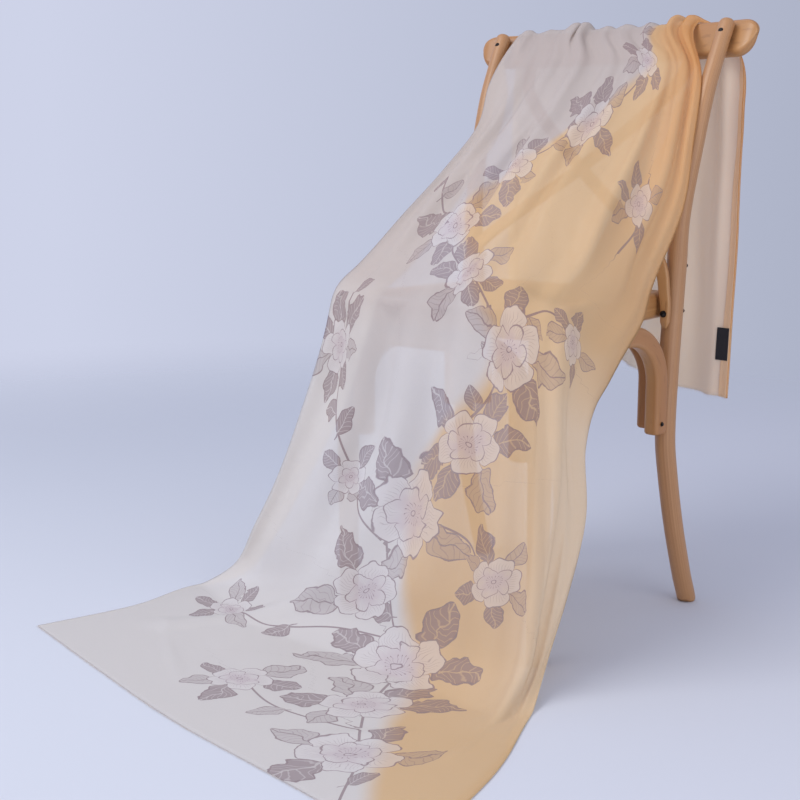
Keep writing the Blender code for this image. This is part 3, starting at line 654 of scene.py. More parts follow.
def makeScrews():
    # a washer with a domed head on it, turned from one outline
    lean, drop = cos(rail["tilt"]), sin(rail["tilt"])
    screws = {  # radius, height, and which way the near one faces
        "post_bolt": (0.0058, 0.0042, (0, -lean, drop)),
        "rail_nut": (0.0045, 0.0070, (0, lean, -drop)),
        "leg_nut_high": (0.0050, 0.0170, (0, 1, 0)), "leg_nut_low": (0.0050, 0.0170, (0, 1, 0)),
        "arch_screw": (0.0034, 0.0022, (1, 0, 0)), "strip_screw": (0.0050, 0.0034, (0, -1, 0)),
    }
    outline = ((1.0, 0.0), (1.0, 0.14), (0.94, 0.20), (0.72, 0.20), (0.72, 0.55), (0.66, 0.78),
               (0.52, 0.92), (0.30, 0.99))
    sides = 20
    points = [(0, 0, 0)]
    for radius, height in outline:
        points += [(radius * x, radius * y, height) for x, y in roundSection(sides)]
    points.append((0, 0, 1))
    faces = ringFaces(len(outline), sides, 1)
    last = len(points) - 1 - sides
    for k in range(sides):
        n = (k + 1) % sides
        faces += [(0, 1 + n, 1 + k), (last + k, last + n, len(points) - 1)]
    template = makePiece("screwShape", points, faces, [steel])
    places, turns, sizes, nodes = [], [], [], []
    for kind, (radius, height, facing) in screws.items():
        for side, word in bothSides:
            nodes.append(f"{kind}_{word.lower()}")
            low, high = (Vector(corner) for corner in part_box(nodes[-1]))
            direction = Vector((facing[0] * side, *facing[1:])).normalized()
            depth = abs((high - low).dot(Vector([abs(value) for value in direction])))
            places.append((low + high) / 2 - direction * depth / 2)
            turns.append(direction.to_track_quat("Z", "Y").to_euler())
            sizes.append((radius, radius, height))
    obj = repeatOnPoints("screws", places, turns, sizes, template, steel, {"seed": 5})
    dress(obj, nodes)


bothSides = ((1, "Near"), (-1, "Far"))
for side, word in bothSides:
    makeRearLeg(side, word)
    makeFrontLeg(side, word)
makeArches()
makeRail()
makeStrips()
makeSeatRing()
makeCaneSeat()
makeScrews()
print("chair done")


shawl = {
    "flat": (0.84, 2.06), "wall": 0.0010, "columns": 122, "rowStep": 0.0070, "railStep": 0.0022,
    "rest": 0.0009, "seatRest": 0.0040, "coreWall": 0.0016, "lowest": 0.0002,
}
# Crosswise lines of the cloth from the floor end up, each with a point at every share
sectionShares = (0.0, 0.25, 0.5, 0.75, 1.0)
sections = (
    ((-0.460, -0.672, 0.0), (-0.262, -0.716, 0.0), (-0.060, -0.757, 0.0),
     (0.152, -0.781, 0.0), (0.362, -0.806, 0.0)),
    ((-0.424, -0.520, 0.0), (-0.228, -0.580, 0.0), (-0.012, -0.610, 0.0),
     (0.200, -0.628, 0.0), (0.318, -0.606, 0.0)),
    ((-0.424, -0.395, 0.0), (-0.222, -0.462, 0.0), (0.012, -0.480, 0.0),
     (0.212, -0.496, 0.0), (0.266, -0.474, 0.0)),
    ((-0.378, -0.366, 0.036), (-0.192, -0.418, 0.030), (0.020, -0.434, 0.030),
     (0.212, -0.444, 0.034), (0.236, -0.392, 0.040)),
    ((-0.327, -0.370, 0.110), (-0.150, -0.400, 0.110), (0.034, -0.412, 0.110),
     (0.206, -0.412, 0.115), (0.228, -0.338, 0.115)),
    ((-0.273, -0.362, 0.210), (-0.116, -0.386, 0.210), (0.044, -0.396, 0.210),
     (0.204, -0.392, 0.220), (0.221, -0.292, 0.205)),
    ((-0.216, -0.357, 0.330), (-0.082, -0.377, 0.330), (0.058, -0.384, 0.330),
     (0.203, -0.376, 0.330), (0.218, -0.290, 0.300)),
    ((-0.180, -0.354, 0.430), (-0.063, -0.367, 0.435), (0.062, -0.369, 0.436),
     (0.199, -0.360, 0.425), (0.215, -0.266, 0.352)),
    ((-0.177, -0.338, 0.481), (-0.062, -0.348, 0.483), (0.060, -0.348, 0.483),
     (0.188, -0.334, 0.478), (0.211, -0.224, 0.374)),
    ((-0.167, -0.300, 0.515), (-0.060, -0.300, 0.520), (0.055, -0.298, 0.520),
     (0.168, -0.284, 0.496), (0.204, -0.168, 0.410)),
    ((-0.156, -0.270, 0.543), (-0.058, -0.258, 0.552), (0.052, -0.248, 0.556),
     (0.160, -0.222, 0.524), (0.199, -0.122, 0.441)),
    ((-0.147, -0.208, 0.597), (-0.056, -0.192, 0.609), (0.045, -0.176, 0.615),
     (0.146, -0.146, 0.590), (0.190, -0.078, 0.492)),
    ((-0.136, -0.140, 0.656), (-0.056, -0.124, 0.670), (0.042, -0.104, 0.676),
     (0.140, -0.074, 0.656), (0.206, -0.030, 0.597)),
    ((-0.126, -0.075, 0.715), (-0.052, -0.056, 0.732), (0.046, -0.036, 0.738),
     (0.136, -0.016, 0.724), (0.200, 0.002, 0.690)),
    ((-0.150, -0.012, 0.778), (-0.060, 0.020, 0.797), (0.040, 0.038, 0.804),
     (0.124, 0.042, 0.797), (0.192, 0.034, 0.778)),
)
# On the rail: degrees round its top from straight up, far edge x, near edge x
railSections = (
    (-46, -0.181, 0.139), (-12, -0.182, 0.139), (22, -0.184, 0.143), (56, -0.187, 0.154),
    (86, -0.190, 0.168),
)
# Behind the rail: heights at four places across, x and y of the far edge and the near edge
tailSections = (
    (0.812, 0.812, 0.812, 0.812, -0.197, 0.120, 0.207, 0.122),
    (0.740, 0.734, 0.731, 0.730, -0.203, 0.124, 0.213, 0.123),
    (0.610, 0.592, 0.583, 0.580, -0.207, 0.126, 0.213, 0.124),
    (0.490, 0.458, 0.440, 0.434, -0.209, 0.128, 0.211, 0.124),
    (0.388, 0.342, 0.314, 0.304, -0.210, 0.130, 0.207, 0.124),
)
tailBow = 0.016
gather = {
    "rail": 0.0052, "least": 0.14, "count": 14, "nearCount": 27, "tail": 0.0085, "tailCount": 7,
    "fall": 0.0095, "fallCount": 6, "fallMiddle": 0.60, "slope": 0.0060, "slopeCount": 8,
}
# Soft swells all over: waves across and along, height, phase
swells = ((2.3, 1.1, 0.0014, 0.4), (3.7, 2.9, 0.0010, 2.2), (6.1, 1.7, 0.0008, 4.4),
          (1.3, 4.3, 0.0010, 5.1), (8.7, 3.1, 0.0005, 1.0))
# Pleats on the rail: place across, height, width, run in front, run behind, drift in front
pleats = (
    (0.045, 0.0060, 0.050, 0.30, 0.36, 0.00), (0.170, 0.0055, 0.045, 0.22, 0.30, -0.02),
    (0.290, 0.0110, 0.040, 0.42, 0.34, -0.08), (0.365, 0.0100, 0.036, 0.36, 0.42, -0.05),
    (0.480, 0.0050, 0.050, 0.26, 0.30, -0.02), (0.590, 0.0060, 0.050, 0.30, 0.44, 0.01),
    (0.720, 0.0055, 0.045, 0.28, 0.36, 0.02), (0.865, 0.0115, 0.036, 0.40, 0.40, 0.03),
    (0.955, 0.0100, 0.032, 0.34, 0.46, 0.02),
)
# Folds: place across and share of the length at the start and the end, height, width
folds = (
    (0.80, 0.13, 0.72, 0.44, 0.012, 0.045), (0.92, 0.16, 0.86, 0.42, 0.010, 0.035),
    (0.66, 0.17, 0.60, 0.40, 0.008, 0.060), (0.40, 0.14, 0.34, 0.38, 0.007, 0.070),
    (0.16, 0.15, 0.22, 0.36, 0.008, 0.060), (0.10, 0.06, 0.30, 0.21, 0.012, 0.055),
    (0.87, 0.07, 0.80, 0.20, 0.009, 0.040), (0.22, 0.80, 0.18, 1.02, 0.012, 0.060),
    (0.52, 0.80, 0.56, 1.02, 0.014, 0.070), (0.80, 0.80, 0.84, 1.02, 0.010, 0.050),
    (0.72, 0.12, 0.66, 0.36, 0.004, 0.022), (0.87, 0.14, 0.80, 0.34, 0.004, 0.020),
    (0.30, 0.11, 0.26, 0.30, 0.003, 0.030), (0.52, 0.12, 0.47, 0.34, 0.003, 0.030),
    (0.30, 0.69, 0.10, 0.50, 0.004, 0.030), (0.40, 0.69, 0.24, 0.48, 0.004, 0.028),
    (0.50, 0.69, 0.40, 0.50, 0.003, 0.026), (0.62, 0.69, 0.56, 0.48, 0.003, 0.030),
    (0.78, 0.69, 0.74, 0.46, 0.005, 0.026), (0.90, 0.69, 0.88, 0.44, 0.005, 0.024),
    (0.05, 0.10, 0.42, 0.03, 0.004, 0.040), (0.60, 0.02, 0.78, 0.14, 0.004, 0.040),
)


def sectionTable():
    table = [list(row) for row in sections]
    reach = rail["height"] / 2 - rail["thickness"] / 2
    radius = rail["thickness"] / 2 + shawl["coreWall"] / 2 + shawl["rest"]
    for degrees, farX, nearX in railSections:
        turn, line = radians(degrees), []
        for share in sectionShares:
            x = farX + (nearX - farX) * share
            y = railY(x) + reach * sin(rail["tilt"]) + radius * sin(turn)
            line.append((x, y, rail["z"] + reach * cos(rail["tilt"]) + radius * cos(turn)))
        table.append(line)
    for *heights, farX, farY, nearX, nearY in tailSections:
        line = []
        for share in sectionShares:
            y = farY + (nearY - farY) * share + tailBow * 4 * share * (1 - share)
            height = np.interp(share, (0, 0.5, 0.75, 1), heights)
            line.append((farX + (nearX - farX) * share, y, height))
        table.append(line)
    return np.array(table, float)


table = sectionTable()
steps = np.linalg.norm(np.diff(table, axis=0), axis=2).mean(axis=1)
alongRows = np.concatenate([[0.0], np.cumsum(steps)])
clothLength = alongRows[-1]
railAlong = alongRows[len(sections) + 1]


def cubicWeights(knots, places):
    # how much the value at each knot counts at each place of a smooth line through them
    count = len(knots)
    slopes = np.zeros((count, count))
    for i in range(1, count - 1):
        before, after = knots[i] - knots[i - 1], knots[i + 1] - knots[i]
        low, high = after / before / (before + after), before / after / (before + after)
        slopes[i, i - 1:i + 2] = -low, low - high, high
    for i, low in ((0, 0), (count - 1, count - 2)):
        slopes[i, low:low + 2] = np.array((-1, 1)) / (knots[low + 1] - knots[low])
    weights = np.zeros((len(places), count))
    for row, place in zip(weights, places):
        k = int(min(max(np.searchsorted(knots, place) - 1, 0), count - 2))
        span = knots[k + 1] - knots[k]
        h0, h1, h2, h3 = hermite((place - knots[k]) / span)
        row[k] += h0
        row[k + 1] += h2
        row += slopes[k] * span * h1 + slopes[k + 1] * span * h3
    return weights


def smoothCloth(shares, places):
    # the smooth surface through the table's points
    across = cubicWeights(np.array(sectionShares), shares)
    return np.einsum("mr,rpc,np->mnc", cubicWeights(alongRows, places), table, across)


def hump(x):
    return np.where(abs(x) < 1, (1 - np.minimum(x * x, 1)) ** 2, 0.0)


def foldHeights(shares, places):
    share, along = shares[None, :], places[:, None]
    height = np.zeros((len(places), len(shares)))
    gone = along - railAlong
    for place, lift, width, frontRun, backRun, drift in pleats:
        away = abs(gone) / np.where(gone > 0, backRun, frontRun)
        fade = np.clip(1 - away, 0, 1) ** 1.3
        middle = place + np.where(gone < 0, drift * away, 0)
        height += lift * fade * hump((share - middle) / (width * (1 + 1.2 * away)))
    for place, start, endPlace, end, lift, width in folds:
        t = (along / clothLength - start) / (end - start)
        inside = (t > 0) & (t < 1)
        middle = place + (endPlace - place) * t
        rise = lift * np.sin(pi * np.clip(t, 0, 1)) * hump((share - middle) / width)
        height += np.where(inside, rise, 0)
    return height


def fineFolds(shares, places):
    # close gathers on the rail, soft upright waves behind it and in the front fall, and a
    # slight unevenness of the whole cloth
    share, along = shares[None, :], places[:, None]
    gone = along - railAlong
    away = abs(gone)
    edges = np.clip(np.minimum(share, 1 - share) / 0.02, 0.25, 1)
    left, right = hump((share - 0.30) / 0.12), np.clip((share - 0.80) / 0.08, 0, 1)
    close = np.exp(-((away / np.where(gone > 0, 0.16, 0.15)) ** 1.4))
    bend = share + 0.020 * np.sin(13 * share + 0.6) + 0.012 * np.sin(31 * share + 2.0)
    bend = bend + 0.05 * gone * np.sin(4 * share)
    wide = 1 + np.cos(2 * pi * gather["count"] * bend)
    narrow = 1 + np.cos(2 * pi * gather["nearCount"] * bend)
    gathers = gather["rail"] * (gather["least"] + left) * wide * (1 - right)
    gathers = gathers + gather["rail"] * 0.62 * right * narrow
    gathers = gathers + 0.0007 * np.cos(2 * pi * 37 * bend + 1.0)
    tail = np.clip(gone / 0.12, 0, 1) ** 1.5 * (0.75 + 0.25 * np.sin(7 * share + 9 * gone))
    waves = gather["tail"] * tail * np.cos(2 * pi * gather["tailCount"] * bend + 2.2 * gone)
    fall = hump((along - gather["fallMiddle"]) / 0.42)
    drift = share + 0.035 * np.sin(6 * share + 3 * along) + 0.03 * np.sin(7 * along)
    fall = gather["fall"] * fall * np.cos(2 * pi * gather["fallCount"] * drift + 0.9)
    slope = gather["slope"] * hump((gone + 0.34) / 0.36) * np.cos(
        2 * pi * gather["slopeCount"] * bend - 2.5 * gone)
    soft = 0.0
    for across, upwards, size, phase in swells:
        sway = 1.4 * np.sin(2.1 * along * upwards + phase)
        soft = soft + size * np.sin(2 * pi * (across * share + upwards * along) + phase + sway)
    soft = soft * np.clip((along - 0.05) / 0.25, 0.15, 1) * np.clip(away / 0.12, 0, 1)
    return (gathers * close + waves + fall + slope) * edges + soft


def clearOfChair(grid):
    # moves the cloth out of the seat, the rear legs and the floor where it would touch them
    x, y, z = grid[..., 0].copy(), grid[..., 1].copy(), grid[..., 2].copy()
    rest = shawl["coreWall"] / 2 + shawl["seatRest"]
    share = (seat["rearY"] - y) / (seat["rearY"] - seat["frontY"])
    halfWidth = seat["rearHalf"] + (seat["frontHalf"] - seat["rearHalf"]) * share
    pastSide = abs(x) - halfWidth
    belowTop = seat["top"] + rest - z
    front = y - seat["frontY"]
    cornerX = abs(x) - (seat["frontHalf"] - seat["frontCorner"])
    cornerY = seat["frontCorner"] - front
    atCorner = (cornerX > 0) & (cornerY > 0)
    past = np.where(atCorner, np.hypot(cornerX, cornerY) - seat["frontCorner"],
                    np.maximum(pastSide, -front))
    out = rest - past
    near = (y > seat["frontY"] - rest) & (y < seat["rearY"])
    near &= (z > seat["top"] - seat["thickness"] - 0.02) & (belowTop > 0) & (pastSide < rest)
    near &= out > 0
    onTop = near & (belowTop < out)
    inFront = near & ~onTop & (-front > pastSide)
    beside = near & ~onTop & ~inFront
    z = np.where(onTop, seat["top"] + rest, z)
    bend = np.sqrt(np.maximum((seat["frontCorner"] + rest)**2 - np.maximum(cornerX, 0)**2, 0))
    ahead = np.where(cornerX > 0, seat["frontY"] + seat["frontCorner"] - bend,
                     seat["frontY"] - rest)
    y = np.where(inFront, np.minimum(y, ahead), y)
    x = np.where(beside, x + np.sign(x) * out, x)
    heights = np.linspace(0.50, 0.80, 61)
    legs = np.array([legAt(height) for height in heights])
    back, legOut, radius = (np.interp(z, heights, legs[:, k]) for k in range(3))
    clear = radius + shawl["coreWall"] / 2 + 2 * shawl["rest"]
    sideways = abs(x) - legOut
    close = (z > 0.50) & (z < 0.80) & (abs(sideways) < clear) & (y < back + clear)
    limit = back - np.sqrt(np.maximum(clear**2 - sideways**2, 0))
    y = np.where(close, np.minimum(y, limit), y)
    return np.stack([x, y, np.maximum(z, shawl["coreWall"] / 2)], axis=-1)


def gridNormals(grid):
    return unit(np.cross(np.gradient(grid, axis=1), np.gradient(grid, axis=0)))


def soften(grid, times):
    last = grid.shape[1] - 1
    for _ in range(times):
        sides = (grid[:-2, ::last] + grid[2:, ::last]) / 2
        inner = (grid[:-2, 1:-1] + grid[2:, 1:-1] + grid[1:-1, :-2] + grid[1:-1, 2:]) / 4
        grid[1:-1, 1:-1] += (inner - grid[1:-1, 1:-1]) * 0.5
        grid[1:-1, ::last] += (sides - grid[1:-1, ::last]) * 0.5
    return grid


def rowPlaces():
    places = [0.0]
    while places[-1] < clothLength:
        away = max(abs(places[-1] - railAlong) - 0.03, 0)
        places.append(places[-1] + min(shawl["rowStep"], shawl["railStep"] + 0.07 * away))
    places[-1] = clothLength
    return np.array(places)


def clothGrid(shares, places):
    base = smoothCloth(shares, places)
    lifted = base + gridNormals(base) * foldHeights(shares, places)[..., None]
    grid = clearOfChair(lifted)
    grid = grid + gridNormals(grid) * fineFolds(shares, places)[..., None]
    grid = soften(grid, 3)
    return clearOfChair(grid)


turned = {  # the hem, and how much of each long side is folded in under the cloth
    "hem": 0.005, "near": 0.120, "nearSpan": (0.20, 1.34), "far": 0.105, "farSpan": (0.30, 1.36),
    "tail": 0.014, "columns": 11, "depth": 0.0034, "hemDepth": 0.00115,
}


def turnUnder(grid, normals, places, size, span):
    # the part folded in at the last column: its places, normals and distances from the edge
    t = np.clip((places - span[0]) / (span[1] - span[0]), 0, 1)
    strip = turned["hem"] + size * np.sin(pi * t) ** 0.8
    strip += turned["tail"] * np.clip((places - railAlong - 0.05) / 0.05, 0, 1)
    width = np.linalg.norm(np.diff(grid, axis=1), axis=2).sum(axis=1)
    count = grid.shape[1] - 1
    found, facing, away = [], [], []
    share = np.clip(strip / 0.03, 0, 1)
    depth = turned["hemDepth"] + (turned["depth"] - turned["hemDepth"]) * share
    rows = np.arange(len(places))
    for k in range(1, turned["columns"] + 1):
        gone = strip * (k / turned["columns"]) ** 1.15
        column = np.clip(count - gone / width * count, 0, count - 0.001)
        low = column.astype(int)
        part = (column - low)[:, None]
        place = grid[rows, low] * (1 - part) + grid[rows, low + 1] * part
        normal = normals[rows, low] * (1 - part) + normals[rows, low + 1] * part
        found.append(place - normal * (depth * (1 - np.exp(-gone / 0.0008)))[:, None])
        facing.append(-normal)
        away.append(gone)
    return np.stack(found, axis=1), np.stack(facing, axis=1), np.stack(away, axis=1)


def wholeCloth(grid, normals, places):
    # the cloth with both sides folded in, and each point's place in the flat cloth
    near = turnUnder(grid, normals, places, turned["near"], turned["nearSpan"])
    far = turnUnder(grid[:, ::-1], normals[:, ::-1], places, turned["far"], turned["farSpan"])
    whole = np.concatenate([far[0][:, ::-1], grid, near[0]], axis=1)
    facing = np.concatenate([far[1][:, ::-1], normals, near[1]], axis=1)
    farStrip, nearStrip = far[2][:, -1:], near[2][:, -1:]
    shares = np.linspace(0, 1, grid.shape[1])[None, :]
    across = farStrip + shares * (shawl["flat"][0] - farStrip - nearStrip)
    across = np.concatenate([
        farStrip - far[2][:, ::-1], across, shawl["flat"][0] - nearStrip + near[2],
    ], axis=1)
    along = np.broadcast_to((places / clothLength * shawl["flat"][1])[:, None], across.shape)
    return whole, facing, np.stack([across, along], axis=2)


shares = np.linspace(0, 1, shawl["columns"] + 1)
places = rowPlaces()
cloth = clothGrid(shares, places)
wholeGrid, wholeNormals, flatPlaces = wholeCloth(cloth, gridNormals(cloth), places)
cells = np.cross(np.diff(wholeGrid, axis=0)[:, :-1], np.diff(wholeGrid, axis=1)[:-1])
area = float(np.linalg.norm(cells, axis=2).sum())
print("shawl's surface:", wholeGrid.shape, round(area, 3), "square metres")


stems = {  # each a path over the flat cloth: across, along
    "main": ((0.72, 0.00), (0.65, 0.08), (0.56, 0.16), (0.47, 0.26), (0.41, 0.37), (0.35, 0.48),
             (0.35, 0.58), (0.43, 0.67), (0.49, 0.77), (0.44, 0.87), (0.33, 0.94), (0.28, 1.03),
             (0.33, 1.12), (0.43, 1.20), (0.52, 1.30), (0.58, 1.41), (0.61, 1.52), (0.56, 1.63),
             (0.54, 1.76), (0.47, 1.90), (0.48, 2.06)),
    "farLow": ((0.41, 0.37), (0.31, 0.36), (0.22, 0.31), (0.13, 0.30)),
    "farHigh": ((0.35, 0.50), (0.27, 0.57), (0.21, 0.66), (0.16, 0.76), (0.17, 0.86)),
    "twigLow": ((0.56, 0.16), (0.45, 0.13), (0.36, 0.15)),
    "twigNear": ((0.36, 0.57), (0.45, 0.55), (0.52, 0.50)),
    "twigSeat": ((0.48, 0.80), (0.56, 0.85), (0.61, 0.83)),
    "twigSlope": ((0.29, 1.01), (0.20, 1.05), (0.15, 1.12)),
    "sprig": ((0.63, 1.03), (0.655, 1.09), (0.65, 1.16)),
    "tailTwig": ((0.56, 1.63), (0.44, 1.68), (0.34, 1.76), (0.29, 1.87)),
}
# The line between the two colours of the ground
divide = ((0.80, -0.02), (0.60, 0.16), (0.45, 0.33), (0.37, 0.50), (0.38, 0.64), (0.47, 0.78),
          (0.38, 0.91), (0.26, 1.03), (0.36, 1.17), (0.50, 1.30), (0.62, 1.46), (0.64, 1.64),
          (0.56, 1.82), (0.52, 2.08))
# Across, along, radius, turn in degrees, how round it is
blossoms = (
    (0.610, 0.105, 0.066, 20, 0.92), (0.500, 0.215, 0.054, 75, 0.84),
    (0.430, 0.330, 0.076, 130, 0.90), (0.330, 0.430, 0.058, 35, 0.80),
    (0.375, 0.560, 0.070, 95, 0.92), (0.460, 0.672, 0.052, 15, 0.85),
    (0.505, 0.790, 0.056, 60, 0.88), (0.395, 0.905, 0.048, 110, 0.95),
    (0.285, 1.000, 0.058, 150, 0.85), (0.340, 1.125, 0.046, 40, 0.90),
    (0.455, 1.230, 0.056, 80, 0.90), (0.560, 1.370, 0.048, 20, 0.90),
    (0.130, 0.300, 0.042, 10, 0.88), (0.150, 0.770, 0.044, 120, 0.86),
    (0.350, 0.150, 0.046, 55, 0.85), (0.530, 0.492, 0.040, 30, 0.88),
    (0.645, 1.120, 0.036, 100, 0.85), (0.555, 1.700, 0.056, 15, 0.88),
    (0.290, 1.880, 0.050, 60, 0.90), (0.480, 1.950, 0.052, 85, 0.86),
    (0.620, 0.835, 0.032, 70, 0.85), (0.245, 0.590, 0.034, 15, 0.85),
)


def stemPoints(path):
    path = np.array(path)
    rows = [(float(k), *point) for k, point in enumerate(path)]
    count = (len(path) - 1) * 14
    return np.array([smoothRow(rows, (len(path) - 1) * k / count)[1:] for k in range(count + 1)])


def placeLeaves():
    # each leaf's base, length and turn, and how round it is; it keeps clear of those before it
    found, centres = [], []

    def offer(x, y, length, turn):
        centre = np.array((x + cos(turn) * length / 2, y + sin(turn) * length / 2))
        inside = 0.03 < centre[0] < 0.81 and 0.02 < centre[1] < 2.04
        if inside and all(np.linalg.norm(other - centre) >= 0.37 * (length + leaf[2])
                          for other, leaf in zip(centres, found)):
            found.append((x, y, length, turn, 1.0))
            centres.append(centre)

    for x, y, radius, turn, _ in blossoms:
        for swing in (30, 82, 134, 186, 238, 290, 338):
            angle = radians(turn + swing + random.uniform(-14, 14))
            length = radius * random.uniform(0.95, 1.45)
            reach = radius * 0.62
            offer(x + cos(angle) * reach, y + sin(angle) * reach, length, angle)
    for path in stems.values():
        line = stemPoints(path)
        distance = distances(line)
        side = 1
        for gone in np.arange(0.02, distance[-1], 0.036):
            k = min(np.searchsorted(distance, gone), len(line) - 2)
            ahead = line[k + 1] - line[k]
            angle = atan2(ahead[1], ahead[0]) + side * radians(random.uniform(38, 66))
            offer(line[k][0], line[k][1], random.uniform(0.034, 0.052), angle)
            side = -side
    return found


leaves = placeLeaves()


def motifPlaces(flat, faces, motifs, reach, offset):
    # each corner's place in the frame of the motif its face lies in; far away where none is near
    centres, corners = flat[faces].mean(axis=1), flat[faces.ravel()]
    best = np.full(len(centres), 1.0)
    chosen = np.full(len(centres), -1)
    for index, (x, y, size, turn, _) in enumerate(motifs):
        dx = centres[:, 0] - x - cos(turn) * size * offset
        dy = centres[:, 1] - y - sin(turn) * size * offset
        away = np.hypot(dx, dy) / (size * reach)
        closer = away < best
        best[closer] = away[closer]
        chosen[closer] = index
    chosen = np.repeat(chosen, faces.shape[1])
    local = np.full((len(corners), 3), 9.0)
    for index, (x, y, size, turn, squash) in enumerate(motifs):
        here = chosen == index
        u, v = corners[here].T
        # a little wander, so that no two motifs are alike
        dx = u - x + size * (0.05 * np.sin(112 * u + 2.3 * np.sin(93 * v))
                             + 0.022 * np.sin(290 * v + 5 * u))
        dy = v - y + size * (0.05 * np.sin(97 * v + 2.0 * np.sin(121 * u))
                             + 0.022 * np.sin(310 * u + 4 * v))
        local[here, 0] = (dx * cos(turn) + dy * sin(turn)) / size
        local[here, 1] = (dy * cos(turn) - dx * sin(turn)) / size / squash
        local[here, 2] = (index * 0.61803) % 1.0
    return local


def signedDistance(points, lines):
    # distance to the nearest of some lines, positive on their right
    best = np.full(len(points), np.inf)
    signed = np.full(len(points), 1.0)
    for line in lines:
        for a, b in zip(line, line[1:]):
            along = b - a
            t = np.clip(((points - a) @ along) / (along @ along), 0, 1)
            offset = points - a - t[:, None] * along
            away = np.linalg.norm(offset, axis=1)
            side = np.sign(along[1] * offset[:, 0] - along[0] * offset[:, 1])
            closer = away < best
            best[closer] = away[closer]
            signed[closer] = np.where(side == 0, 1, side)[closer] * away[closer]
    return signed


dye = {
    "lilacHigh": (195, 184, 181), "lilacLow": (220, 217, 217), "apricot": (221, 182, 131),
    "apricotDeep": (217, 140, 48), "apricotPale": (238, 220, 198), "ink": (112, 80, 100),
    "inkSoft": (178, 150, 168), "petal": (222, 216, 220), "reverse": (240, 229, 210),
    # the reverse side's faint emission is painted light: it makes the cloth look lit where it lies
    # in shade
    "cover": 0.62, "paintedGlow": 0.13,
}


def drawBlossom(finish, place):
    # lines, the blossom's whole area and the shade near its middle
    x, y, seed = finish.parts(place)
    radius = finish.math("SQRT", x * x + y * y)
    angle = finish.math("ARCTAN2", y, x) + seed * 6.283
    lobe, innerLobe = (abs(finish.math("COSINE", angle * 2.5 + turn)) for turn in (0.0, 1.35))
    edge = 0.60 + lobe ** 0.55 * 0.38 - lobe ** 10.0 * 0.07
    inside = 1 - finish.fade(-0.012, 0.012, radius - edge)
    outline = finish.line(radius - edge, 0.010, 0.016)
    valley = finish.line(lobe * radius, 0.010, 0.018) * finish.fade(0.22, 0.30, radius) * inside
    innerEdge = 0.34 + innerLobe ** 0.6 * 0.24
    inner = finish.line(radius - innerEdge, 0.008, 0.014)
    valley = valley * finish.fade(-0.01, 0.01, radius - innerEdge)
    share = radius / edge
    veins = finish.line(finish.math("SINE", angle * 27.0), 0.05, 0.30) * inside
    veins = veins * finish.fade(0.50, 0.62, share) * (1 - finish.fade(0.74, 0.90, share))
    spokes = finish.math("SINE", angle * 9.0)
    rays = finish.line(spokes, 0.06, 0.22) * finish.fade(0.08, 0.10, radius)
    rays = rays * (1 - finish.fade(0.23, 0.25, radius))
    tips = finish.line(radius - 0.25, 0.012, 0.014) * finish.line(spokes, 0.22, 0.25)
    eye = finish.line(radius - 0.075, 0.008, 0.012)
    lines = finish.most(outline, valley, inner, veins * 0.55, rays * 0.8, tips, eye)
    return lines, inside, (1 - finish.fade(0.25, 0.75, share)) * inside


def drawLeaf(finish, place):
    x, y, seed = finish.parts(place)
    swell = finish.most(finish.math("SINE", finish.math("MINIMUM", x, 1.0) * pi), 0.0)
    bent = y - swell * (seed - 0.5) * 0.22
    half = (swell ** 0.75) * (0.36 - x * 0.12)
    side = abs(bent)
    body = finish.fade(0.0, 0.02, x) * (1 - finish.fade(0.97, 1.0, x))
    inside = (1 - finish.fade(-0.012, 0.012, side - half)) * body
    outline = finish.line(side - half, 0.008, 0.016) * body
    rib = finish.line(bent, 0.009, 0.012) * body
    stalk = finish.line(y, 0.012, 0.014) * finish.fade(-0.34, -0.30, x)
    stalk = stalk * (1 - finish.fade(0.0, 0.03, x))
    wave = finish.math("FRACT", (x - side * 0.85) * 7.0) - 0.5
    veins = finish.line(wave, 0.035, 0.09) * inside
    darkLeaf = finish.fade(0.35, 0.36, seed)
    fill = inside * (0.35 + darkLeaf * 0.50) * (1 - veins * 0.45) * (1 - rib * 0.6)
    openLines = finish.most(veins * 0.55, rib) * (1 - darkLeaf)
    return finish.most(outline, stalk, openLines), inside, fill


def dyed(key):
    return tint(*dye[key])


def startCloth(name):
    # what both sides of the cloth share: fuzz, ground colour, place across, way to the stems
    finish = Finish(name)
    uv = finish.attribute("flatPlace")
    fuzz = finish.noise(finish.stretch(uv, (620, 260, 1)), 1.0, 2.0, 0.65)
    u, v, _ = finish.parts(uv)
    groundSide, stemSide, drift = finish.parts(finish.attribute("sides"))
    warm = finish.fade(-0.012, 0.020, groundSide + drift * 0.006)
    high = finish.fade(0.68, 0.98, v + drift * 0.06)
    lilac = finish.blend(high, dyed("lilacLow"), dyed("lilacHigh"))
    deep = finish.fade(0.54, 0.90, u + drift * 0.02) * finish.fade(0.60, 1.20, v)
    pale = finish.fade(0.50, 0.66, u) * (1 - finish.fade(0.66, 0.90, v + drift * 0.05))
    pale = pale * finish.fade(0.20, 0.50, v)
    apricot = finish.blend(deep * 0.90, dyed("apricot"), dyed("apricotDeep"))
    apricot = finish.blend(pale * 0.65, apricot, dyed("apricotPale"))
    ground = finish.blend(warm, lilac, apricot)
    return finish, fuzz, finish.blend(fuzz * 0.10, ground, tint(150, 138, 140)), u, stemSide


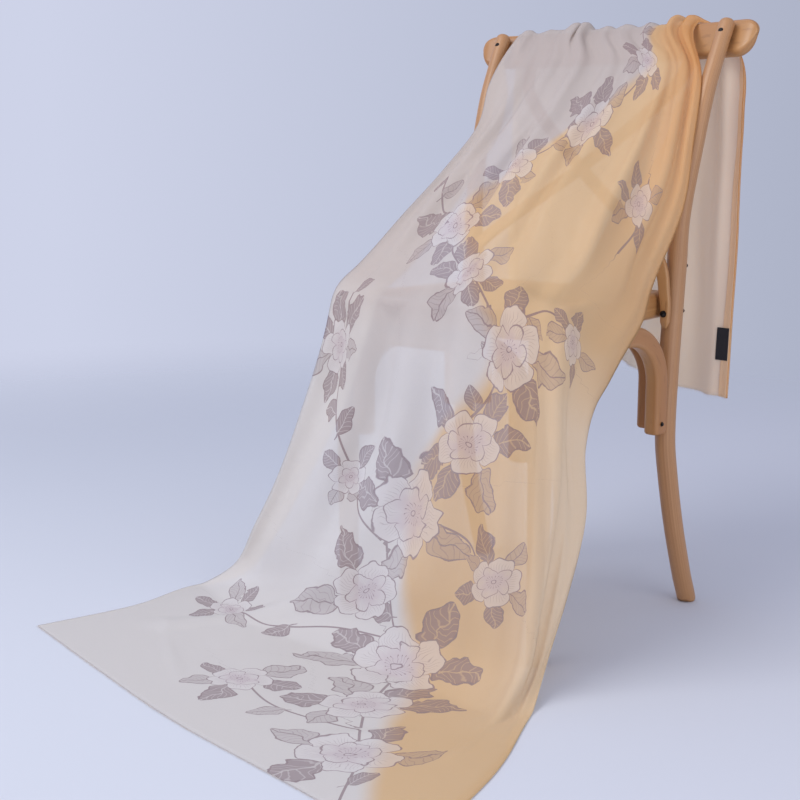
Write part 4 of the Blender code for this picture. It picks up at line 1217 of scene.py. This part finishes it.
def makePrinted():
    finish, fuzz, ground, _, stemSide = startCloth("printedCashmere")
    blossomLines, blossomArea, shade = drawBlossom(finish, finish.attribute("blossomPlace"))
    leafLines, leafArea, leafFill = drawLeaf(finish, finish.attribute("leafPlace"))
    bare = 1 - blossomArea
    stem = finish.line(stemSide, 0.0013, 0.0007) * bare * (1 - leafArea)
    printed = finish.blend(leafFill * bare * 0.80, ground, dyed("ink"))
    printed = finish.blend(blossomArea * 0.42, printed, dyed("petal"))
    printed = finish.blend(shade * 0.34, printed, dyed("inkSoft"))
    ink = finish.most(blossomLines, leafLines * bare, stem)
    printed = finish.blend(ink * (0.62 + fuzz * 0.25), printed, dyed("ink"))
    return finishCloth(finish, printed, fuzz, 0.0)


def makeReverse():
    finish, fuzz, ground, u, _ = startCloth("cashmereReverse")
    edge = finish.fade(shawl["flat"][0] - 0.030, shawl["flat"][0] - 0.018, u)
    faded = finish.blend(0.80 - edge * 0.45, ground, dyed("reverse"))
    # the reverse side is given a faint emission, painted light that brightens it where it lies in
    # shade
    return finishCloth(finish, faded, fuzz, dye["paintedGlow"])


def finishCloth(finish, colour, fuzz, paintedGlow):
    return finish.finish(finish.surface({
        "Base Color": colour, "Roughness": 0.78 + fuzz * 0.18,
        "Normal": finish.bump(fuzz, 0.30, 0.0006), "Specular IOR Level": 0.12,
        # the emission is painted light, which makes the cloth look lit where it lies in shade
        "Alpha": dye["cover"], "Emission Color": dyed("reverse"), "Emission Strength": paintedGlow,
    }))


printedCloth = makePrinted()
reverseCloth = makeReverse()


def makeShawl():
    rows, columns = wholeGrid.shape[0] - 1, wholeGrid.shape[1] - 1
    layers = [wholeGrid + wholeNormals * side * shawl["wall"] / 2 for side in (1, -1)]
    for layer in layers:
        layer[..., 2] = np.maximum(layer[..., 2], shawl["lowest"])
    front, back, edge = shellFaces(rows, columns)
    faces = np.concatenate([front, back, edge])
    points = np.concatenate([layer.reshape(-1, 3) for layer in layers]) + shift
    folded = np.zeros((rows, columns))
    folded[:, :turned["columns"] - 1] = folded[:, 1 - turned["columns"]:] = 1
    kinds = np.concatenate([folded.ravel(), np.ones(len(back)), np.zeros(len(edge))])
    obj = makePiece("shawl", points, faces.tolist(), [printedCloth, reverseCloth],
                    kinds.astype(np.int32))
    data = obj.data
    once = flatPlaces.reshape(-1, 2)
    flat = np.concatenate([once, once])
    addUv(data, flat, "flatPlace")
    flowers = [(x, y, radius, radians(turn), squash) for x, y, radius, turn, squash in blossoms]
    addVectors(data, "blossomPlace", "CORNER", motifPlaces(flat, faces, flowers, 1.20, 0.0))
    addVectors(data, "leafPlace", "CORNER", motifPlaces(flat, faces, leaves, 0.85, 0.42))
    u, v = once.T
    sides = np.stack([
        signedDistance(once, [stemPoints(divide)]),
        signedDistance(once, [stemPoints(path) for path in stems.values()]),
        np.sin(11 * u + 2.1 * np.sin(7 * v)) + 0.5 * np.sin(27 * v + 9 * u),
    ], axis=1)
    addVectors(data, "sides", "POINT", np.concatenate([sides, sides]))
    flipIfInside(data)
    dress(obj, ["shawl_floor_trail", "shawl_front_fall", "shawl_slope", "shawl_over_rail",
                "shawl_tail"])
    return obj


shawlPiece = makeShawl()
print("shawl done:", len(shawlPiece.data.polygons), "faces,", len(leaves), "leaves")


eyelash = {"length": 0.0042, "thickness": 0.00028, "step": 0.00085, "seed": 21}


def makeEyelash():
    sides = 4
    rings = ((0.0, 1.0, 0.0), (0.35, 0.9, 0.05), (0.7, 0.65, 0.16), (1.0, 0.25, 0.34))
    points = [(lean + size * x * 0.06, size * y * 0.06, height)
              for height, size, lean in rings for x, y in roundSection(sides)]
    faces = ringFaces(len(rings), sides)
    faces += [(3, 2, 1, 0), tuple(range(len(points) - sides, len(points)))]
    template = makePiece("lash", points, faces, [printedCloth])
    places, turns = [], []
    chance = np.random.default_rng(eyelash["seed"])
    for row, inner in ((0, 2), (-1, -3)):
        edge, inside = cloth[row], cloth[inner]
        widths = distances(edge)
        for gone in np.arange(0.0005, widths[-1], eyelash["step"]):
            k = min(int(np.searchsorted(widths, gone)), len(widths) - 1)
            t = (gone - widths[k - 1]) / (widths[k] - widths[k - 1])
            here = edge[k - 1] + (edge[k] - edge[k - 1]) * t
            out = Vector(unit(here - (inside[k - 1] + (inside[k] - inside[k - 1]) * t)))
            out += Vector(chance.normal(0, 0.16, 3) * (1, 1, 0.25))
            place = Vector(here) - out.normalized() * 0.0006
            place.z = max(place.z, 0.0008)
            if row == 0:
                out.z = max(out.z, 0.0)
            places.append(np.array(place) + shift)
            turns.append(out.to_track_quat("Z", "Y").to_euler())
    thick = eyelash["thickness"] / 0.12  # 0.12 is the width of the small shape's foot
    finish = makeMottled("eyelashYarn", (40, 40, 40), (3.0,), ((206, 200, 204), (222, 206, 186)),
                         (0.85, 0.1))
    sizes = [(thick, thick, eyelash["length"])] * len(places)
    obj = repeatOnPoints("eyelashEnds", places, turns, sizes, template, finish,
                         {"scale": 1.15, "least": 0.70, "seed": eyelash["seed"]})
    return dress(obj, [])


label = {"low": 0.362, "high": 0.412, "across": (0.942, 0.992), "thickness": 0.0007,
         "space": 0.0006, "crown": 0.0005, "rows": 30, "columns": 14}


def labelPoint(share, height):
    low, high = alongRows[len(sections) + len(railSections)], clothLength
    column = np.array([max(share - 0.004, 0), share, min(share + 0.004, 1)])
    places = np.linspace(low, high, 120)
    line = smoothCloth(column, places)
    line = line + gridNormals(line) * foldHeights(column, places)[..., None]
    heights = line[::-1, 1, 2]
    return np.array([np.interp(height, heights, line[::-1, 1, k]) for k in range(3)])


def makeLabel():
    rows, columns = label["rows"], label["columns"]
    shares = np.linspace(*label["across"], columns + 1)
    heights = np.linspace(label["high"], label["low"], rows + 1)
    grid = np.array([[labelPoint(share, height) for share in shares] for height in heights])
    normal = gridNormals(grid)
    away = shawl["coreWall"] / 2 + label["space"]
    crown = np.sin(np.linspace(0, pi, rows + 1))[:, None, None] ** 0.3 * label["crown"]
    near, far = grid - normal * away, grid - normal * (away + label["thickness"] + crown)
    points = np.concatenate([near.reshape(-1, 3), far.reshape(-1, 3)]) + shift
    faces = np.concatenate(shellFaces(rows, columns)).tolist()
    finish = makeMottled("labelTape", (300, 300, 2600), (2.0,), ((22, 22, 26), (44, 43, 50)),
                         (0.62, 0.2), (0.3, 0.0003))
    obj = makePiece("labelTape", points, faces, [finish])
    obj.data.set_sharp_from_angle(angle=radians(50))
    flipIfInside(obj.data)
    return dress(obj, ["shawl_label"])


eyelashPiece = makeEyelash()
labelPiece = makeLabel()
print("eyelash ends and label done")


room = {"left": (206, 211, 232), "right": (170, 176, 196), "floor": (211, 214, 222),
        "floorRight": (212, 213, 221)}
view = {"azimuth": 40.6, "elevation": 10.4, "place": (1.1264, -1.7178, 0.6680), "lens": 59.6}
lights = {  # towards the camera's right, up, back towards the camera; size, power, aim height
    "key": (-1.7, 2.5, 0.9, 1.8, 44, 0.4),
    "fill": (1.6, 1.1, 2.1, 2.2, 22, 0.4),
}
turn, rise = radians(view["azimuth"]), radians(view["elevation"])
toRight = Vector((cos(turn), sin(turn), 0))
toCamera = Vector((sin(turn), -cos(turn), 0))
middle = (Vector(cadBox[0]) + Vector(cadBox[1])) / 2


def makeFloor():
    finish = Finish("paleFloor")
    place = finish.place()
    x, y, _ = finish.parts(place)
    far = finish.fade(1.2, 3.2, finish.math("SQRT", x * x + y * y))
    across = finish.fade(-0.5, 1.1, x * toRight.x + y * toRight.y)
    tone = finish.blend(across, tint(*room["floor"]), tint(*room["floorRight"]))
    grit = finish.noise(place, 60.0, 2.0)
    body = finish.surface({"Base Color": tone, "Roughness": 0.75 + grit * 0.1})
    clear = finish.node("ShaderNodeBsdfTransparent", {}, {})
    mixed = finish.node("ShaderNodeMixShader", {}, {0: far, 1: body, 2: clear})
    corners = [(x * 30.0, y * 30.0, -0.0006) for x, y in ((-1, -1), (1, -1), (1, 1), (-1, 1))]
    makePiece("floor", corners, [(0, 1, 2, 3)], [finish.finish(mixed)])


def makeWorld():
    # a wall that darkens to the camera's right
    scene.world = bpy.data.worlds.new("room")
    finish = Finish("room", scene.world)
    way = finish.node("ShaderNodeTexCoord", {}, {})
    product = {"operation": "DOT_PRODUCT"}
    side = finish.node("ShaderNodeVectorMath", product, {0: way, 1: toRight}, 1)
    share = finish.node("ShaderNodeMapRange", {}, {0: side, 1: -0.25, 2: 0.35})
    tone = finish.blend(share, tint(*room["left"]), tint(*room["right"]))
    finish.finish(finish.node("ShaderNodeBackground", {}, {0: tone}), "ShaderNodeOutputWorld")


def makeLights():
    base = Vector((middle.x, middle.y, 0))
    for name, (right, up, front, size, power, aim) in lights.items():
        data = bpy.data.lights.new(name, "AREA")
        data.size = size
        data.energy = power
        obj = addObject(name, data)
        obj.location = base + toRight * right + toCamera * front + Vector((0, 0, up))
        direction = base + Vector((0, 0, aim)) - obj.location
        obj.rotation_euler = direction.to_track_quat("-Z", "Y").to_euler()


def makeCamera():
    data = bpy.data.cameras.new("camera")
    data.sensor_width = 36
    data.lens = view["lens"]
    scene.camera = addObject("camera", data)
    scene.camera.location = Vector(view["place"]) + Vector(shift)
    back = toCamera * cos(rise) + Vector((0, 0, sin(rise)))
    scene.camera.rotation_euler = back.to_track_quat("Z", "Y").to_euler()


makeFloor()
makeWorld()
makeLights()
makeCamera()
print("room done")

bpy.context.view_layer.update()
